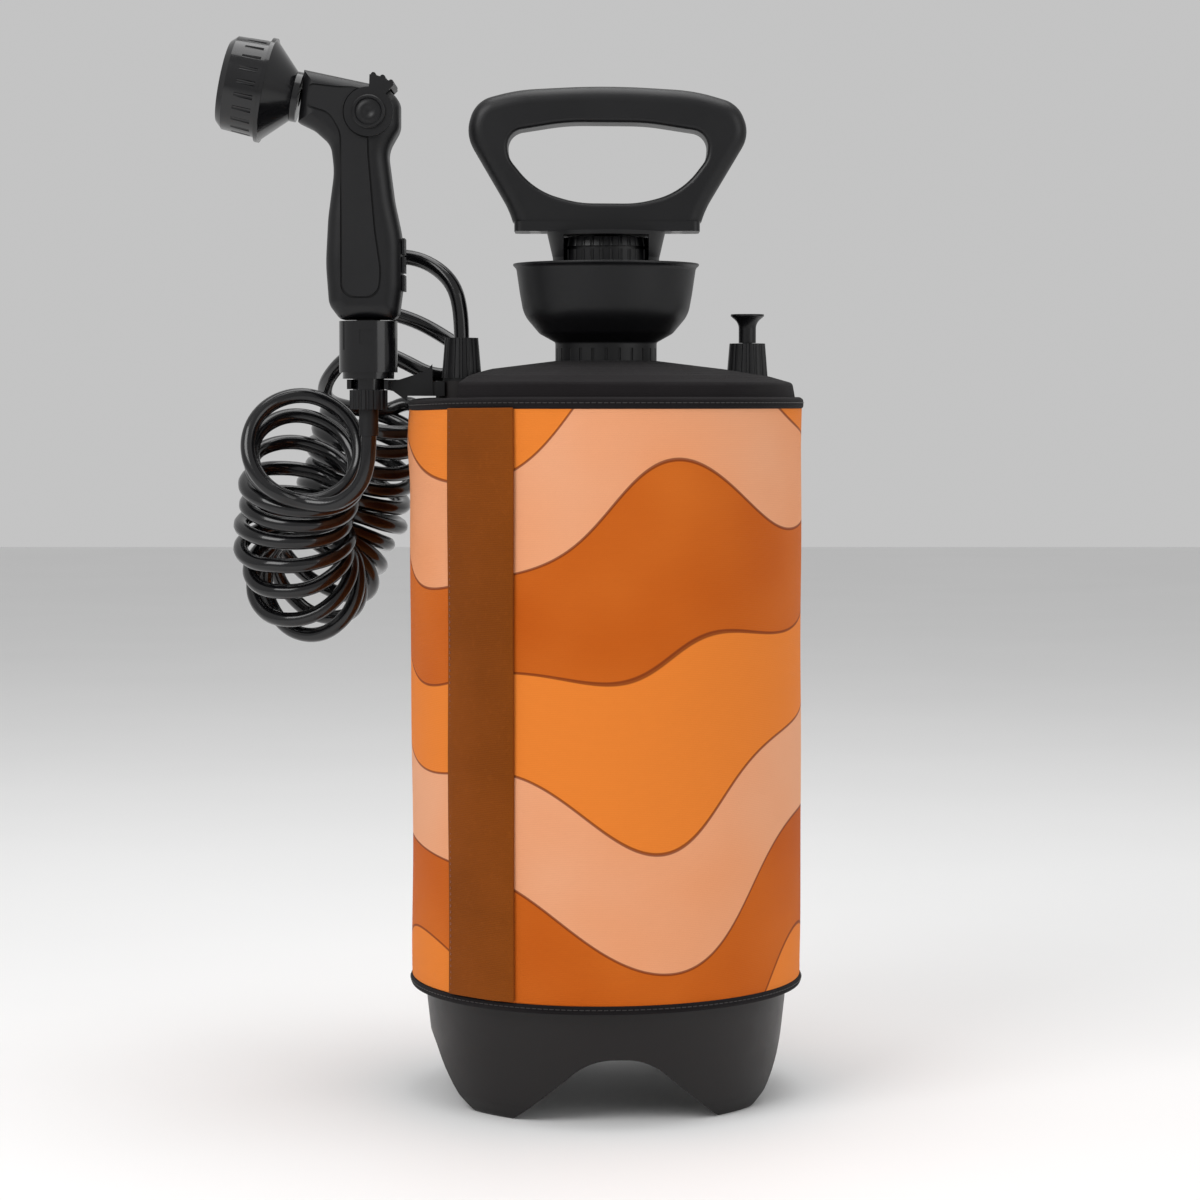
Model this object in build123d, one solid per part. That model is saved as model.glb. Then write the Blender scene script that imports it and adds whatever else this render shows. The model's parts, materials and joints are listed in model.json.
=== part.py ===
from build123d import *
from math import atan2, cos, degrees, pi, radians, sin, sqrt, tan
import os

# Hand-pumped camping shower. Millimetres, +Z up, origin on the tank's axis at the floor, front towards -Y.

# Fits between pieces
clear = 0.3            # soft or loose neighbours
seat = 0.05            # pieces that sit in or on each other
running = 0.06         # shafts, rods and collars that slide or turn

# Base with four feet
base_radius = 93.0
base_top = 61.5
base_wall = 3.2
base_turn = 4.0        # degrees: the feet stand slightly round from the front
foot_edge_radius = 86.0
foot_pad_depth = 13.0
foot_pad_height = 4.0
foot_trim = 0.4        # cut off flat under the feet
deck_low = 36.5
deck_thickness = 3.0
arch_half_width = 51.0
arch_height = 33.0
arch_flat_half = 14.0
arch_round = 30.0

# Tank
tank_radius = 96.1
tank_wall = 2.6
tank_step = 63.0
shoulder_start = 336.0
shoulder_edge = 351.0
shoulder_top = 365.0
neck_radius = 24.0
neck_bore = 21.0
neck_top = 393.0

# Sleeve
sleeve_radius = 100.0
sleeve_thickness = 3.4
sleeve_low = 61.0
sleeve_high = 352.0
hem_height = 4.0
rim_height = 5.0
binding_proud = 0.5
panel_thickness = 2.4
panel_edge = 95.2      # where the top panel turns from its side to its slope
panel_edge_z = 364.3
panel_centre_z = 375.6
strip_from = -50.0     # degrees round from the front, towards +X
strip_to = -26.5
strip_thickness = 1.3
tape_thickness = 0.9

# Filler bowl
bowl_wall = 2.2
bowl_ring_radius = 25.9
bowl_ring_top = 385.0
bowl_round_radius = 44.0
bowl_round_z = 410.0
bowl_rim_radius = 47.4
bowl_rim_z = 425.0
bowl_rib_count = 24
bowl_rib_depth = 0.7

# Pump
rod_radius = 5.5
barrel_radius = 18.5
barrel_wall = 1.6
barrel_low = 120.0
cap_flange_radius = 28.0
cap_flange_height = 5.0
cap_spigot_length = 14.0
cap_knurl_radius = 23.4
cap_top = 438.0
cap_ring_height = 4.6
cap_groove = 1.6
knurl_count = 30
knurl_radius = 1.1
guide_radius = 9.0
guide_length = 12.0
seal_thickness = 2.0
piston_low = 134.0
piston_height = 14.0
piston_ring_height = 4.0
piston_stem_radius = 4.0

# Handle
handle_bottom = 446.0
handle_half_depth = 13.0
handle_edge_round = 7.5
opening_edge_round = 2.5
handle_plate_low = 441.0
handle_plate_half = 47.0
handle_plate_depth = 14.5
prong_top_radius = 30.2
prong_low_radius = 27.2
prong_inner_radius = 24.2
prong_low = 412.0
prong_window_half = 21.5
screw_radius = 1.6
screw_head_radius = 3.0
screw_length = 14.0
screw_reach = 36.0

# Relief valve
valve_x = 72.2
valve_boss_radius = 10.3
valve_boss_top = 365.6
valve_top = 384.5
valve_top_radius = 9.1
valve_low_radius = 10.5
valve_stem_radius = 2.5
valve_chamber_radius = 6.0
valve_travel = 5.0
knob_stem_radius = 4.4
knob_flange_radius = 8.5
knob_top = 399.4

# Outlet
outlet_x = -73.8
outlet_boss_radius = 13.3
outlet_boss_top = 365.5
outlet_top = 387.4
outlet_top_radius = 8.5
outlet_low_radius = 10.2
outlet_thread_radius = 5.6
hose_radius = 3.9
hose_bore = 2.5
dip_radius = 4.0
dip_low = 50.0
gasket_thickness = 1.5
rib_count = 16
rib_groove_radius = 1.0

# Gun
gun_x = -120.0
gun_y = -20.0
gun_half_depth = 14.0
gun_edge_round = 8.0
grip_low = 396.0
pivot_x = -118.3
pivot_z = 499.0
pivot_housing_radius = 15.0
hub_radius = 12.3
hub_thickness = 2.2
lever_shaft_radius = 3.5
spool_radius = 6.5
spool_half_length = 9.0
lever_cap_radius = 8.4
lever_cap_thickness = 1.4
lever_band_inner = 16.1
lever_band_outer = 18.3
lever_from = 46.0
lever_to = 88.0
lever_ridge_radius = 1.3
lever_ridge_count = 3
water_tube_radius = 4.5
water_tube_wall = 1.2
panel_inlay = 1.6
panel_proud = 0.2
panel_groove = 0.45    # each side of the line between the grip and its inlay

# Gun head
head_x = -155.2
head_z = 507.6
head_tilt = 12.0
neck_ring_radius = 12.6
neck_ring_length = 3.0
cone_flange_radius = 26.4
cone_length = 13.2
flange_length = 2.0
dial_radius = 24.4
dial_length = 17.0
dial_bevel = 3.2
dial_wall = 3.0
dial_slot_count = 22
dial_slot_radius = 1.2
dial_slot_length = 9.5
scallop_count = 10
scallop_radius = 3.2
face_thickness = 2.4
spindle_radius = 4.0
nozzle_radius = 0.8

# Quick connector
collar_radius = 14.7
collar_wall = 1.6
collar_low = 369.6
collar_top = 395.4
collar_travel = 3.0
shroud_radius = 13.0
shroud_low = 366.4
connector_neck_radius = 8.0
connector_neck_low = 360.8
adaptor_radius = 6.0
nut_radius = 9.6
nut_low = 351.0
tail_radius = 4.9
tail_low = 337.6
o_ring_section = 1.0

# Gun holder
fork_inner = 8.3
fork_outer = 10.4
fork_low = 361.2
fork_top = 366.0
holder_low = 357.8
holder_tip = 373.8
holder_plate = 3.4

# Hose route, centreline points chosen by hand
lead_points = [
    (outlet_x, 0.0, outlet_top),
    (outlet_x, 0.0, 401.5),
    (-79.0, 3.0, 417.5),
    (-94.0, 9.0, 428.0),
    (-112.0, 16.0, 430.0),
    (-129.0, 24.0, 425.5),
    (-139.5, 37.0, 417.0),
    (-135.0, 53.0, 408.5),
    (-119.0, 62.0, 403.0),
    (-101.0, 65.0, 398.0),
    (-85.0, 64.0, 389.0),
    (-72.5, 55.0, 380.0),
    (-69.2, 39.5, 374.0),
    (-75.5, 24.5, 368.5),
    (-90.0, 16.5, 368.0),
    (-104.0, 18.5, 375.5),
    (-119.0, 24.0, 382.0),
    (-134.5, 32.0, 379.0),
    (-146.0, 45.0, 368.0),
    (-150.0, 61.0, 359.0),
    (-147.0, 77.0, 354.0),
    (-136.0, 92.0, 351.0),
    (-120.0, 99.0, 349.0),
]
coil_radius = 28.0
coil_points = [
    (-153.0, -4.0, 332.0),
    (-156.0, 14.0, 327.0),
    (-161.0, 27.0, 301.0),
    (-163.5, 37.0, 271.0),
    (-158.0, 58.0, 256.0),
    (-148.0, 80.0, 271.0),
    (-136.0, 85.0, 305.0),
    (-126.0, 77.0, 334.0),
    (-122.0, 72.0, 352.0),
]
tail_points = [
    (gun_x, gun_y, tail_low),
    (gun_x, gun_y, 322.6),
    (-126.5, -17.6, 309.0),
    (-140.0, -12.9, 301.5),
    (-156.0, -7.3, 303.6),
]


def turned(points):
    """A solid of revolution about Z from its closed outline of radius and height."""
    outline = Polyline(*[(r, 0, z) for r, z in points], close=True)
    return revolve(make_face(outline), Axis.Z)


def turned_soft(corners):
    """The same with a rounding for each corner: radius, height, rounding."""
    outline = FilletPolyline(
        *[(r, 0, z) for r, z, _ in corners], radius=[f for _, _, f in corners], close=True
    )
    return revolve(make_face(outline), Axis.Z)


def rod_up(radius, low, high, x=0.0, y=0.0):
    """A round bar standing from one height to another."""
    return Pos(x, y, (low + high) / 2) * Cylinder(radius, high - low)


def ring(outer, inner, low, high, x=0.0, y=0.0):
    """A plain ring or tube standing from one height to another."""
    return rod_up(outer, low, high, x, y) - rod_up(inner, low - 1, high + 1, x, y)


def fluted(low_radius, top_radius, low, high, count, groove):
    """A tapered round body with grooves all round, on the Z axis."""
    height = high - low
    body = turned([(0, low), (low_radius, low), (top_radius, high), (0, high)])
    lean = degrees(atan2(low_radius - top_radius, height))
    middle = (low_radius + top_radius) / 2
    cutter = Pos(middle + groove * 0.35, 0, (low + high) / 2) * Rot(0, -lean, 0) * Cylinder(groove, 2 * height)
    for i in range(count):
        body -= Rot(0, 0, 360 * i / count) * cutter
    return body


def along_y(outline, near, far):
    """A flat outline in X and Z, made solid between two depths in Y."""
    face = make_face(outline)
    moved = Pos(0, near, 0) * face
    return extrude(moved, amount=far - near, dir=(0, 1, 0))


def outline_xz(corners):
    """A closed outline in X and Z with a rounding for each corner: x, z, rounding."""
    return FilletPolyline(
        *[(x, 0, z) for x, z, _ in corners], radius=[f for _, _, f in corners], close=True
    )


def base():
    """Skirt with four arches, which leave four feet, and a deck that carries the tank."""
    inner = base_radius - base_wall
    skirt = turned_soft([
        (inner, base_top, 0), (base_radius, base_top, 1), (base_radius - 0.6, base_top - 12, 60),
        (base_radius - 3, 28, 60), (base_radius - 4.5, 7, 8), (foot_edge_radius, -foot_trim, 3),
        (foot_edge_radius - foot_pad_depth, -foot_trim, 2), (foot_edge_radius - foot_pad_depth, foot_pad_height, 0),
        (base_radius - 4.5 - base_wall, foot_pad_height + 3, 3),
        (inner - 2.6, 24, 0), (inner, deck_low, 0),
    ])
    deck = rod_up(inner + 0.5, deck_low, deck_low + deck_thickness)
    arch = make_face(outline_xz([
        (-arch_half_width - 7.5, -6.5, 0), (-arch_flat_half, arch_height, arch_round),
        (arch_flat_half, arch_height, arch_round), (arch_half_width + 7.5, -6.5, 0),
    ]))
    tunnel = extrude(Pos(0, -base_radius * 2, 0) * arch, amount=base_radius * 4, dir=(0, 1, 0))
    body = skirt + deck
    for turn in (0, 90):
        body -= Rot(0, 0, turn) * tunnel
    body &= Pos(0, 0, base_top) * Box(3 * base_radius, 3 * base_radius, 2 * base_top)
    return Rot(0, 0, base_turn) * body


def tank():
    """Pressure tank with its neck, the bosses for the valve and the outlet, and their holes."""
    foot = base_radius - base_wall - clear
    low = deck_low + deck_thickness + seat
    outer = turned_soft([
        (0, low, 0), (foot, low, 8), (foot, tank_step - 1, 0), (tank_radius, tank_step + 1.5, 0),
        (tank_radius, shoulder_start, 20), (91, shoulder_edge, 20), (40, 361, 30),
        (neck_radius, shoulder_top, 0), (neck_radius, neck_top, 0.8), (0, neck_top, 0),
    ])
    wall = tank_wall
    inner = turned_soft([
        (0, low + wall, 0), (foot - wall, low + wall, 7), (foot - wall, tank_step + wall, 0),
        (tank_radius - wall, tank_step + 2 * wall, 0), (tank_radius - wall, shoulder_start - wall, 18),
        (91 - wall, shoulder_edge - wall, 18), (40, 361 - wall, 20), (neck_bore, shoulder_top - 2 * wall, 0),
        (neck_bore, neck_top + 5, 0), (0, neck_top + 5, 0),
    ])
    body = outer - inner
    body += rod_up(outlet_boss_radius, 350, outlet_boss_top, outlet_x) - inner
    body += rod_up(valve_boss_radius, 350, valve_boss_top, valve_x) - inner
    body -= rod_up(outlet_thread_radius + seat, 330, 400, outlet_x)
    body -= rod_up(valve_spigot_radius() + seat, 330, 400, valve_x)
    return body


def valve_spigot_radius():
    return valve_chamber_radius - 0.6


def sleeve_body():
    inner = sleeve_radius - sleeve_thickness
    return ring(sleeve_radius, inner, sleeve_low, sleeve_high)


def bottom_binding():
    """Tape folded round the sleeve's lower edge."""
    inner = sleeve_radius - sleeve_thickness
    return ring(sleeve_radius + binding_proud, inner, sleeve_low - hem_height, sleeve_low - seat)


def top_binding():
    inner = sleeve_radius - sleeve_thickness
    return ring(sleeve_radius, inner, sleeve_high + seat, sleeve_high + rim_height)


def top_panel():
    """Black fabric that rises from the rim to the bowl, with the openings for outlet and valve."""
    low = sleeve_high + rim_height + seat
    t = panel_thickness
    hole = bowl_ring_radius + clear
    body = turned_soft([
        (panel_edge + 1.3 - t, low, 0), (panel_edge + 1.3, low, 0), (panel_edge, panel_edge_z, 2.5),
        (83, 367.8, 30), (61, 371.3, 40), (hole, panel_centre_z, 0), (hole, panel_centre_z - t, 0),
        (61, 371.3 - t, 40), (83, 367.8 - t, 30), (panel_edge - t, panel_edge_z - t, 1),
    ])
    notch = Polyline((-58, -16, 0), (-75, -68, 0), (-120, -68, 0), (-120, 68, 0), (-75, 68, 0), (-58, 16, 0), close=True)
    body -= extrude(Pos(0, 0, 300) * make_face(notch), amount=200)
    body -= rod_up(valve_low_radius + clear, 300, 400, valve_x)
    return body


def sector(outer, inner, low, high, start, end):
    """A curved plate round the tank's axis, between two angles counted from the front."""
    reach = 3 * outer
    ends = [
        (reach * sin(radians(a)), -reach * cos(radians(a)), 0)
        for a in (start, (start + end) / 2, end)
    ]
    wedge = extrude(Pos(0, 0, low) * make_face(Polyline((0, 0, 0), *ends, close=True)), amount=high - low)
    return ring(outer, inner, low, high) & wedge


def closure_tape():
    """Hook and loop tape between the sleeve and the flap."""
    inner = sleeve_radius + seat
    return sector(inner + tape_thickness, inner, sleeve_low + 6, sleeve_high - 6, strip_from + 2, strip_to - 2)


def closure_strip():
    inner = sleeve_radius + tape_thickness + 2 * seat
    return sector(inner + strip_thickness, inner, sleeve_low + 1, sleeve_high - 1, strip_from, strip_to)


def bowl_gasket():
    return ring(bowl_ring_radius - clear, neck_radius + seat, shoulder_top + 7, shoulder_top + 8)


def filler_bowl():
    """Funnel round the neck: a ribbed ring, a round bowl and a thin lip."""
    low = shoulder_top + 8 + seat
    bore = neck_radius + seat
    w = bowl_wall
    body = turned_soft([
        (bore, low, 0), (bowl_ring_radius, low, 0), (bowl_ring_radius, bowl_ring_top, 1.5), (34, 389.5, 6),
        (42, 399, 16), (bowl_round_radius, bowl_round_z, 20), (bowl_rim_radius - 1.6, 422.5, 3),
        (bowl_rim_radius, bowl_rim_z - 1, 0), (bowl_rim_radius, bowl_rim_z, 0.4), (bowl_rim_radius - w - 1, bowl_rim_z, 0),
        (bowl_round_radius - w, bowl_round_z, 18), (42 - w, 399 + w / 2, 14), (33, 389.5 + w, 4), (bore, 389.5 + w, 0),
    ])
    cutter = rod_up(bowl_rib_depth, low - 1, bowl_ring_top - 3, bowl_ring_radius)
    for i in range(bowl_rib_count):
        body -= Rot(0, 0, 360 * i / bowl_rib_count) * cutter
    return body


def neck_seal():
    return ring(neck_radius + 2, neck_bore - 0.2, neck_top + seat, neck_top + seat + seal_thickness)


def cap_floor():
    return neck_top + seal_thickness + 2 * seat


def pump_cap():
    """Screwed cap over the neck: spigot, flange, knurled body and a grooved top ring."""
    low = cap_floor()
    body = rod_up(cap_flange_radius, low, low + cap_flange_height)
    knurl_low = low + cap_flange_height
    ring_low = cap_top - cap_ring_height
    body += fluted(cap_knurl_radius, cap_knurl_radius, knurl_low, ring_low - cap_groove, knurl_count, knurl_radius)
    body += rod_up(cap_knurl_radius - 1.5, ring_low - cap_groove, ring_low)
    body += fluted(cap_knurl_radius, cap_knurl_radius - 1, ring_low, cap_top, knurl_count, knurl_radius)
    body += rod_up(neck_bore - 2 * clear, low - cap_spigot_length, low)
    body -= rod_up(barrel_radius + seat, low - cap_spigot_length - 1, low)
    body -= rod_up(guide_radius + seat, cap_top - guide_length, cap_top + 1)
    body -= rod_up(rod_radius + 1, low - 1, cap_top)
    return body


def rod_guide():
    return ring(guide_radius, rod_radius + running, cap_top - guide_length + seat, cap_top)


def pump_barrel():
    return ring(barrel_radius, barrel_radius - barrel_wall, barrel_low, cap_floor() - seat)


def barrel_foot():
    """Disc in the barrel's lower end, with four air holes and one for the valve."""
    body = rod_up(barrel_radius - barrel_wall - seat, barrel_low, barrel_low + 5)
    for i in range(4):
        body -= Rot(0, 0, 90 * i) * rod_up(1.8, barrel_low - 1, barrel_low + 9, 6.5)
    return body - rod_up(2 + seat, barrel_low - 1, barrel_low + 9)


def check_valve():
    """Rubber umbrella under the barrel's foot, held by its stem."""
    low = barrel_low - seat
    return turned([
        (0, low - 2.5), (6, low - 2), (10, low - 0.8), (10, low), (2, low), (2, low + 5.1), (3, low + 5.2), (2, low + 8), (0, low + 8),
    ])


def piston():
    """Piston with a groove for its ring, turning on the rod's stem."""
    bore = barrel_radius - barrel_wall
    high = piston_low + piston_height
    groove_low = piston_low + 5
    body = ring(bore - 0.7, piston_stem_radius + running, piston_low, high)
    return body - ring(bore, bore - 3.2, groove_low, groove_low + piston_ring_height)


def piston_ring():
    bore = barrel_radius - barrel_wall
    low = piston_low + 5 + seat
    return ring(bore - running, bore - 3.2 + seat, low, low + piston_ring_height - 2 * seat)


def plunger_rod():
    """Rod from the piston to the handle, with a thinner stem through the piston."""
    high = piston_low + piston_height
    body = rod_up(rod_radius, high + seat, handle_plate_low - seat)
    return body + rod_up(piston_stem_radius, piston_low - 5, high + 1)


def rod_nut():
    nut = extrude(RegularPolygon(6.5, 6), amount=4)
    return Pos(0, 0, piston_low - seat - 4) * nut - rod_up(piston_stem_radius, piston_low - 9, piston_low)


def handle():
    """D-handle: crowned bar, leaning sides and a finger opening with a round lower edge."""
    outer = outline_xz([
        (-42.5, handle_bottom - 16, 10), (-49.3, handle_bottom + 6, 50), (-71.5, 490, 19), (-66, 507, 15),
        (-45, 512.5, 90), (0, 514.8, 400), (45, 512, 90), (67, 505.5, 15), (73, 490, 16),
        (50.3, handle_bottom + 6, 50), (43.5, handle_bottom - 16, 10),
    ])
    opening = outline_xz([
        (-50.5, 491, 8.5), (-49.5, 478, 13), (-36, 461.5, 38), (-14, 455.2, 55), (16, 455, 55), (38, 460.5, 38),
        (51, 477.5, 12), (52, 490.5, 8.5), (20, 495.5, 110), (-20, 495.8, 110),
    ])
    bar = along_y(outer, -handle_half_depth, handle_half_depth)
    bar = fillet(bar.edges().filter_by(lambda e: on_side(e)), handle_edge_round)
    bar &= Pos(0, 0, handle_bottom + 50) * Box(200, 60, 100)
    hole = along_y(opening, -2 * handle_half_depth, 2 * handle_half_depth)
    bar -= hole
    inner = bar.edges().filter_by(lambda e: on_side(e) and hole.distance_to(e.position_at(0.5)) < 0.01)
    bar = fillet(inner, opening_edge_round)
    for x, y in screw_places():
        bar -= rod_up(screw_radius + seat, handle_bottom - 1, handle_bottom + screw_length - 5, x, y)
    return bar


def on_side(edge):
    """Whether an edge lies in the handle's front or back face."""
    return abs(abs(edge.center().Y) - handle_half_depth) < 0.01


def screw_places():
    return [(x, y) for x in (-screw_reach, screw_reach) for y in (-7, 7)]


def handle_plate():
    """Plate closing the handle's underside, on the end of the rod."""
    height = handle_bottom - seat - handle_plate_low
    plate = extrude(
        Pos(0.5, 0, handle_plate_low) * RectangleRounded(2 * handle_plate_half, 2 * handle_plate_depth, 4),
        amount=height,
    )
    for x, y in screw_places():
        plate -= rod_up(screw_radius + seat, handle_plate_low - 1, handle_bottom, x, y)
        plate -= rod_up(screw_head_radius + seat, handle_plate_low - 1, handle_plate_low + 2, x, y)
    return plate


def handle_screws():
    """Four screws up through the plate into the handle."""
    low = handle_plate_low
    return [
        rod_up(screw_radius, low + 1, low + screw_length, x, y)
        + rod_up(screw_head_radius, low, low + 2 - seat, x, y)
        for x, y in screw_places()
    ]


def lock_prongs():
    """Tapered skirt under the handle, open at front and back, that locks onto the cap."""
    high = handle_plate_low - seat
    slope = (prong_top_radius - prong_low_radius) / (high - 428)
    low_radius = prong_low_radius - slope * (428 - prong_low) / 3
    body = turned([
        (prong_inner_radius, prong_low), (low_radius, prong_low), (prong_low_radius, 428), (prong_top_radius, high),
        (rod_radius + 3, high), (rod_radius + 3, high - 2), (prong_inner_radius, high - 2),
    ])
    window = Pos(0, 0, (prong_low + high - 2) / 2) * Box(2 * prong_window_half, 100, high - 2 - prong_low + 0.01)
    return body - window - rod_up(rod_radius + seat, high - 5, high + 5)


def relief_gasket():
    low = valve_boss_top + seat
    return ring(valve_low_radius - 1, valve_spigot_radius() + seat, low, low + gasket_thickness - 2 * seat, valve_x)


def relief_body():
    """Ribbed valve body with a spring chamber, screwed into the tank."""
    low = valve_boss_top + gasket_thickness
    body = fluted(valve_low_radius, valve_top_radius, low, valve_top, rib_count, rib_groove_radius)
    body += rod_up(valve_spigot_radius(), valve_boss_top - 12, low + 1)
    body -= rod_up(valve_chamber_radius, low + 4, valve_top - 2.5)
    body -= rod_up(valve_stem_radius + running, low - 20, valve_top + 1)
    return Pos(valve_x, 0, 0) * body


def relief_disc_low():
    return valve_boss_top + gasket_thickness + 4 + seat


def relief_seal():
    """Rubber disc on the stem, which the spring presses down on its seat."""
    low = relief_disc_low()
    return ring(valve_chamber_radius - 0.4, valve_stem_radius + seat, low, low + 1.8, valve_x)


def relief_spring():
    low = relief_disc_low() + 1.8 + seat
    return ring(valve_chamber_radius - 0.8, valve_stem_radius + 0.6, low, valve_top - 2.5 - seat, valve_x)


def relief_knob():
    """Pull knob: flared top, neck and the stem down through the spring."""
    neck_low = valve_top + clear
    low = relief_disc_low() - 1.5
    flare = turned_soft([
        (0, neck_low, 0), (knob_stem_radius, neck_low, 0), (knob_stem_radius, knob_top - 4.5, 6),
        (knob_flange_radius, knob_top - 1, 0), (knob_flange_radius, knob_top, 0.3), (0, knob_top, 0),
    ])
    return Pos(valve_x, 0, 0) * (flare + rod_up(valve_stem_radius, low, neck_low + 1))


def outlet_gasket():
    low = outlet_boss_top + seat
    return ring(outlet_low_radius - 0.5, outlet_thread_radius + seat, low, low + gasket_thickness - 2 * seat, outlet_x)


def outlet_fitting():
    """Threaded stub through the boss, with a barb for the hose inside the nut."""
    top = outlet_top - 9
    body = rod_up(outlet_thread_radius, 338, top) + rod_up(hose_bore, top, outlet_top - 2)
    return Pos(outlet_x, 0, 0) * (body - rod_up(1.4, 330, outlet_top + 1))


def outlet_nut():
    low = outlet_boss_top + gasket_thickness
    body = fluted(outlet_low_radius, outlet_top_radius, low, outlet_top, rib_count, rib_groove_radius)
    body -= rod_up(outlet_thread_radius + seat, low - 1, outlet_top - 9 + seat)
    body -= rod_up(hose_radius + seat, low - 1, outlet_top + 1)
    return Pos(outlet_x, 0, 0) * body


def lock_nut():
    """Nut that holds the fitting from inside the tank."""
    nut = extrude(RegularPolygon(10, 6), amount=5)
    return Pos(outlet_x, 0, lock_nut_low()) * nut - rod_up(outlet_thread_radius, 330, 370, outlet_x)


def lock_nut_low():
    return 343.0


def dip_tube():
    return ring(dip_radius, dip_radius - 1.2, dip_low, 338 - seat, outlet_x)


def strainer():
    """Slotted cap on the dip tube's lower end."""
    body = ring(dip_radius + 1.6, dip_radius + seat, dip_low + 2, dip_low + 14, outlet_x)
    body += ring(dip_radius + 1.6, dip_radius - 2, dip_low - 3, dip_low - seat, outlet_x)
    body += ring(dip_radius + 1.6, dip_radius + 0.2, dip_low - 1, dip_low + 3, outlet_x)
    for i in range(3):
        body -= Pos(outlet_x, 0, dip_low - 3) * Rot(0, 0, 60 * i) * Box(20, 1, 2)
    return body


def gun_holder():
    """Fork round the connector's neck, on an arm from the outlet boss."""
    fork = ring(fork_outer, fork_inner, fork_low, fork_top)
    fork -= Pos(0, -fork_outer, (fork_low + fork_top) / 2) * Box(2 * fork_inner, 2 * fork_outer, 9)
    middle = (fork_inner + fork_outer) / 2
    for side in (-1, 1):
        fork += Pos(side * middle, -3.5, (fork_low + fork_top) / 2) * Box(
            fork_outer - fork_inner, 7, fork_top - fork_low
        )
    fork = Pos(gun_x, gun_y, 0) * fork
    near = gun_y + 6
    plate = along_y(
        Polyline(
            (gun_x + 7.5, 0, fork_low), (gun_x + 7.5, 0, fork_top), (gun_x + 15, 0, fork_top), (-91, 0, 370.5),
            (-88.2, 0, holder_tip), (-87.8, 0, holder_low), (-100.8, 0, holder_low), (-101.3, 0, holder_low - 2.5),
            (-108, 0, fork_low - 1), close=True,
        ),
        near, near + holder_plate,
    )
    plate -= rod_up(fork_inner, fork_low - 9, fork_top + 9, gun_x, gun_y)
    foot = Pos(-88, -1, (holder_low + 365) / 2) * Box(12, 2 * (near + holder_plate) * -1 + 2, 365 - holder_low)
    foot -= rod_up(outlet_boss_radius + seat, holder_low - 9, 380, outlet_x)
    return fork + plate + foot


def path_of(points):
    """Straight runs joined by tangent arcs, each as large as its two runs allow."""
    places = [Vector(*p) for p in points]
    radii = []
    for before, here, after in zip(places, places[1:], places[2:]):
        turn = radians((here - before).get_angle(after - here))
        shorter = min((here - before).length, (after - here).length)
        radii.append(0.45 * shorter / tan(turn / 2))
    print("bend radii", [round(r, 1) for r in radii])
    return FilletPolyline(*places, radius=radii)


def tube_along(points, radius):
    path = path_of(points)
    start = Plane(origin=path @ 0, z_dir=path % 0)
    tube = sweep(start * Circle(radius), path=path)
    print("tube volume", round(tube.volume), "section times length", round(pi * radius ** 2 * path.length))
    return tube


def hose_lead():
    return tube_along(lead_points, hose_radius)


def hose_tail():
    return tube_along(tail_points, hose_radius)


def capsule_chain(points, radius, overrun):
    """Round bars along straight runs, with a ball at each corner."""
    places = [Vector(*p) for p in points]
    first = (places[0] - places[1]).normalized()
    last = (places[-1] - places[-2]).normalized()
    places[0] = places[0] + first * overrun
    places[-1] = places[-1] + last * overrun
    body = None
    for a, b in zip(places, places[1:]):
        run = b - a
        bar = Plane(origin=(a + b) / 2, z_dir=run) * Cylinder(radius, run.length)
        body = bar if body is None else body + bar
    for p in places[1:-1]:
        body += Pos(*p) * Sphere(radius)
    return body


def hose_coil():
    """Outer shape of the hanging curly coil, hollow as its turns are."""
    outer = capsule_chain(coil_points, coil_radius + hose_radius, 0)
    inner = capsule_chain(coil_points, coil_radius - hose_radius, 5)
    return max((outer - inner).solids(), key=lambda solid: solid.volume)


def grip_outline():
    """Side view of the gun body: grip, pivot housing and barrel."""
    reach = pivot_housing_radius
    return outline_xz([
        (-133.5, grip_low, 4), (-139.2, 403.5, 10), (-140.7, 424, 80), (-139.4, 447, 80), (-136.2, 470, 40),
        (-137.8, 483, 10), (-146.5, 490.8, 12), (-154.2, 494.6, 0), (-150.9, 520.5, 0), (pivot_x - 1, 513.8, 30),
        (pivot_x + 8.5, 512, 10), (pivot_x + reach, 505, 8), (pivot_x + reach, 491, 10),
        (-109.6, 480, 14), (-106.4, 455, 60), (-102.4, 436, 60), (-102.4, 412, 30), (-104.6, grip_low, 4),
    ])


def panel_outline(grow):
    """Inset side panel: it widens down the grip and reaches into the barrel."""
    g = grow
    return outline_xz([
        (-132.4 - g, 407 - g, 7), (-132.4 - g, 489, 14), (-138, 498.6 - g, 10), (-149.5 - g, 502 - g, 3),
        (-148 - g, 513 + g, 3), (-134, 511.3 + g, 20), (-119.2 + g, 511.3 + g, 4),
        (-118.6 + g, 478, 14), (-115.5 + g, 440, 60), (-112.6 + g, 420, 30), (-114 + g, 407 - g, 7),
    ])


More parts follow.
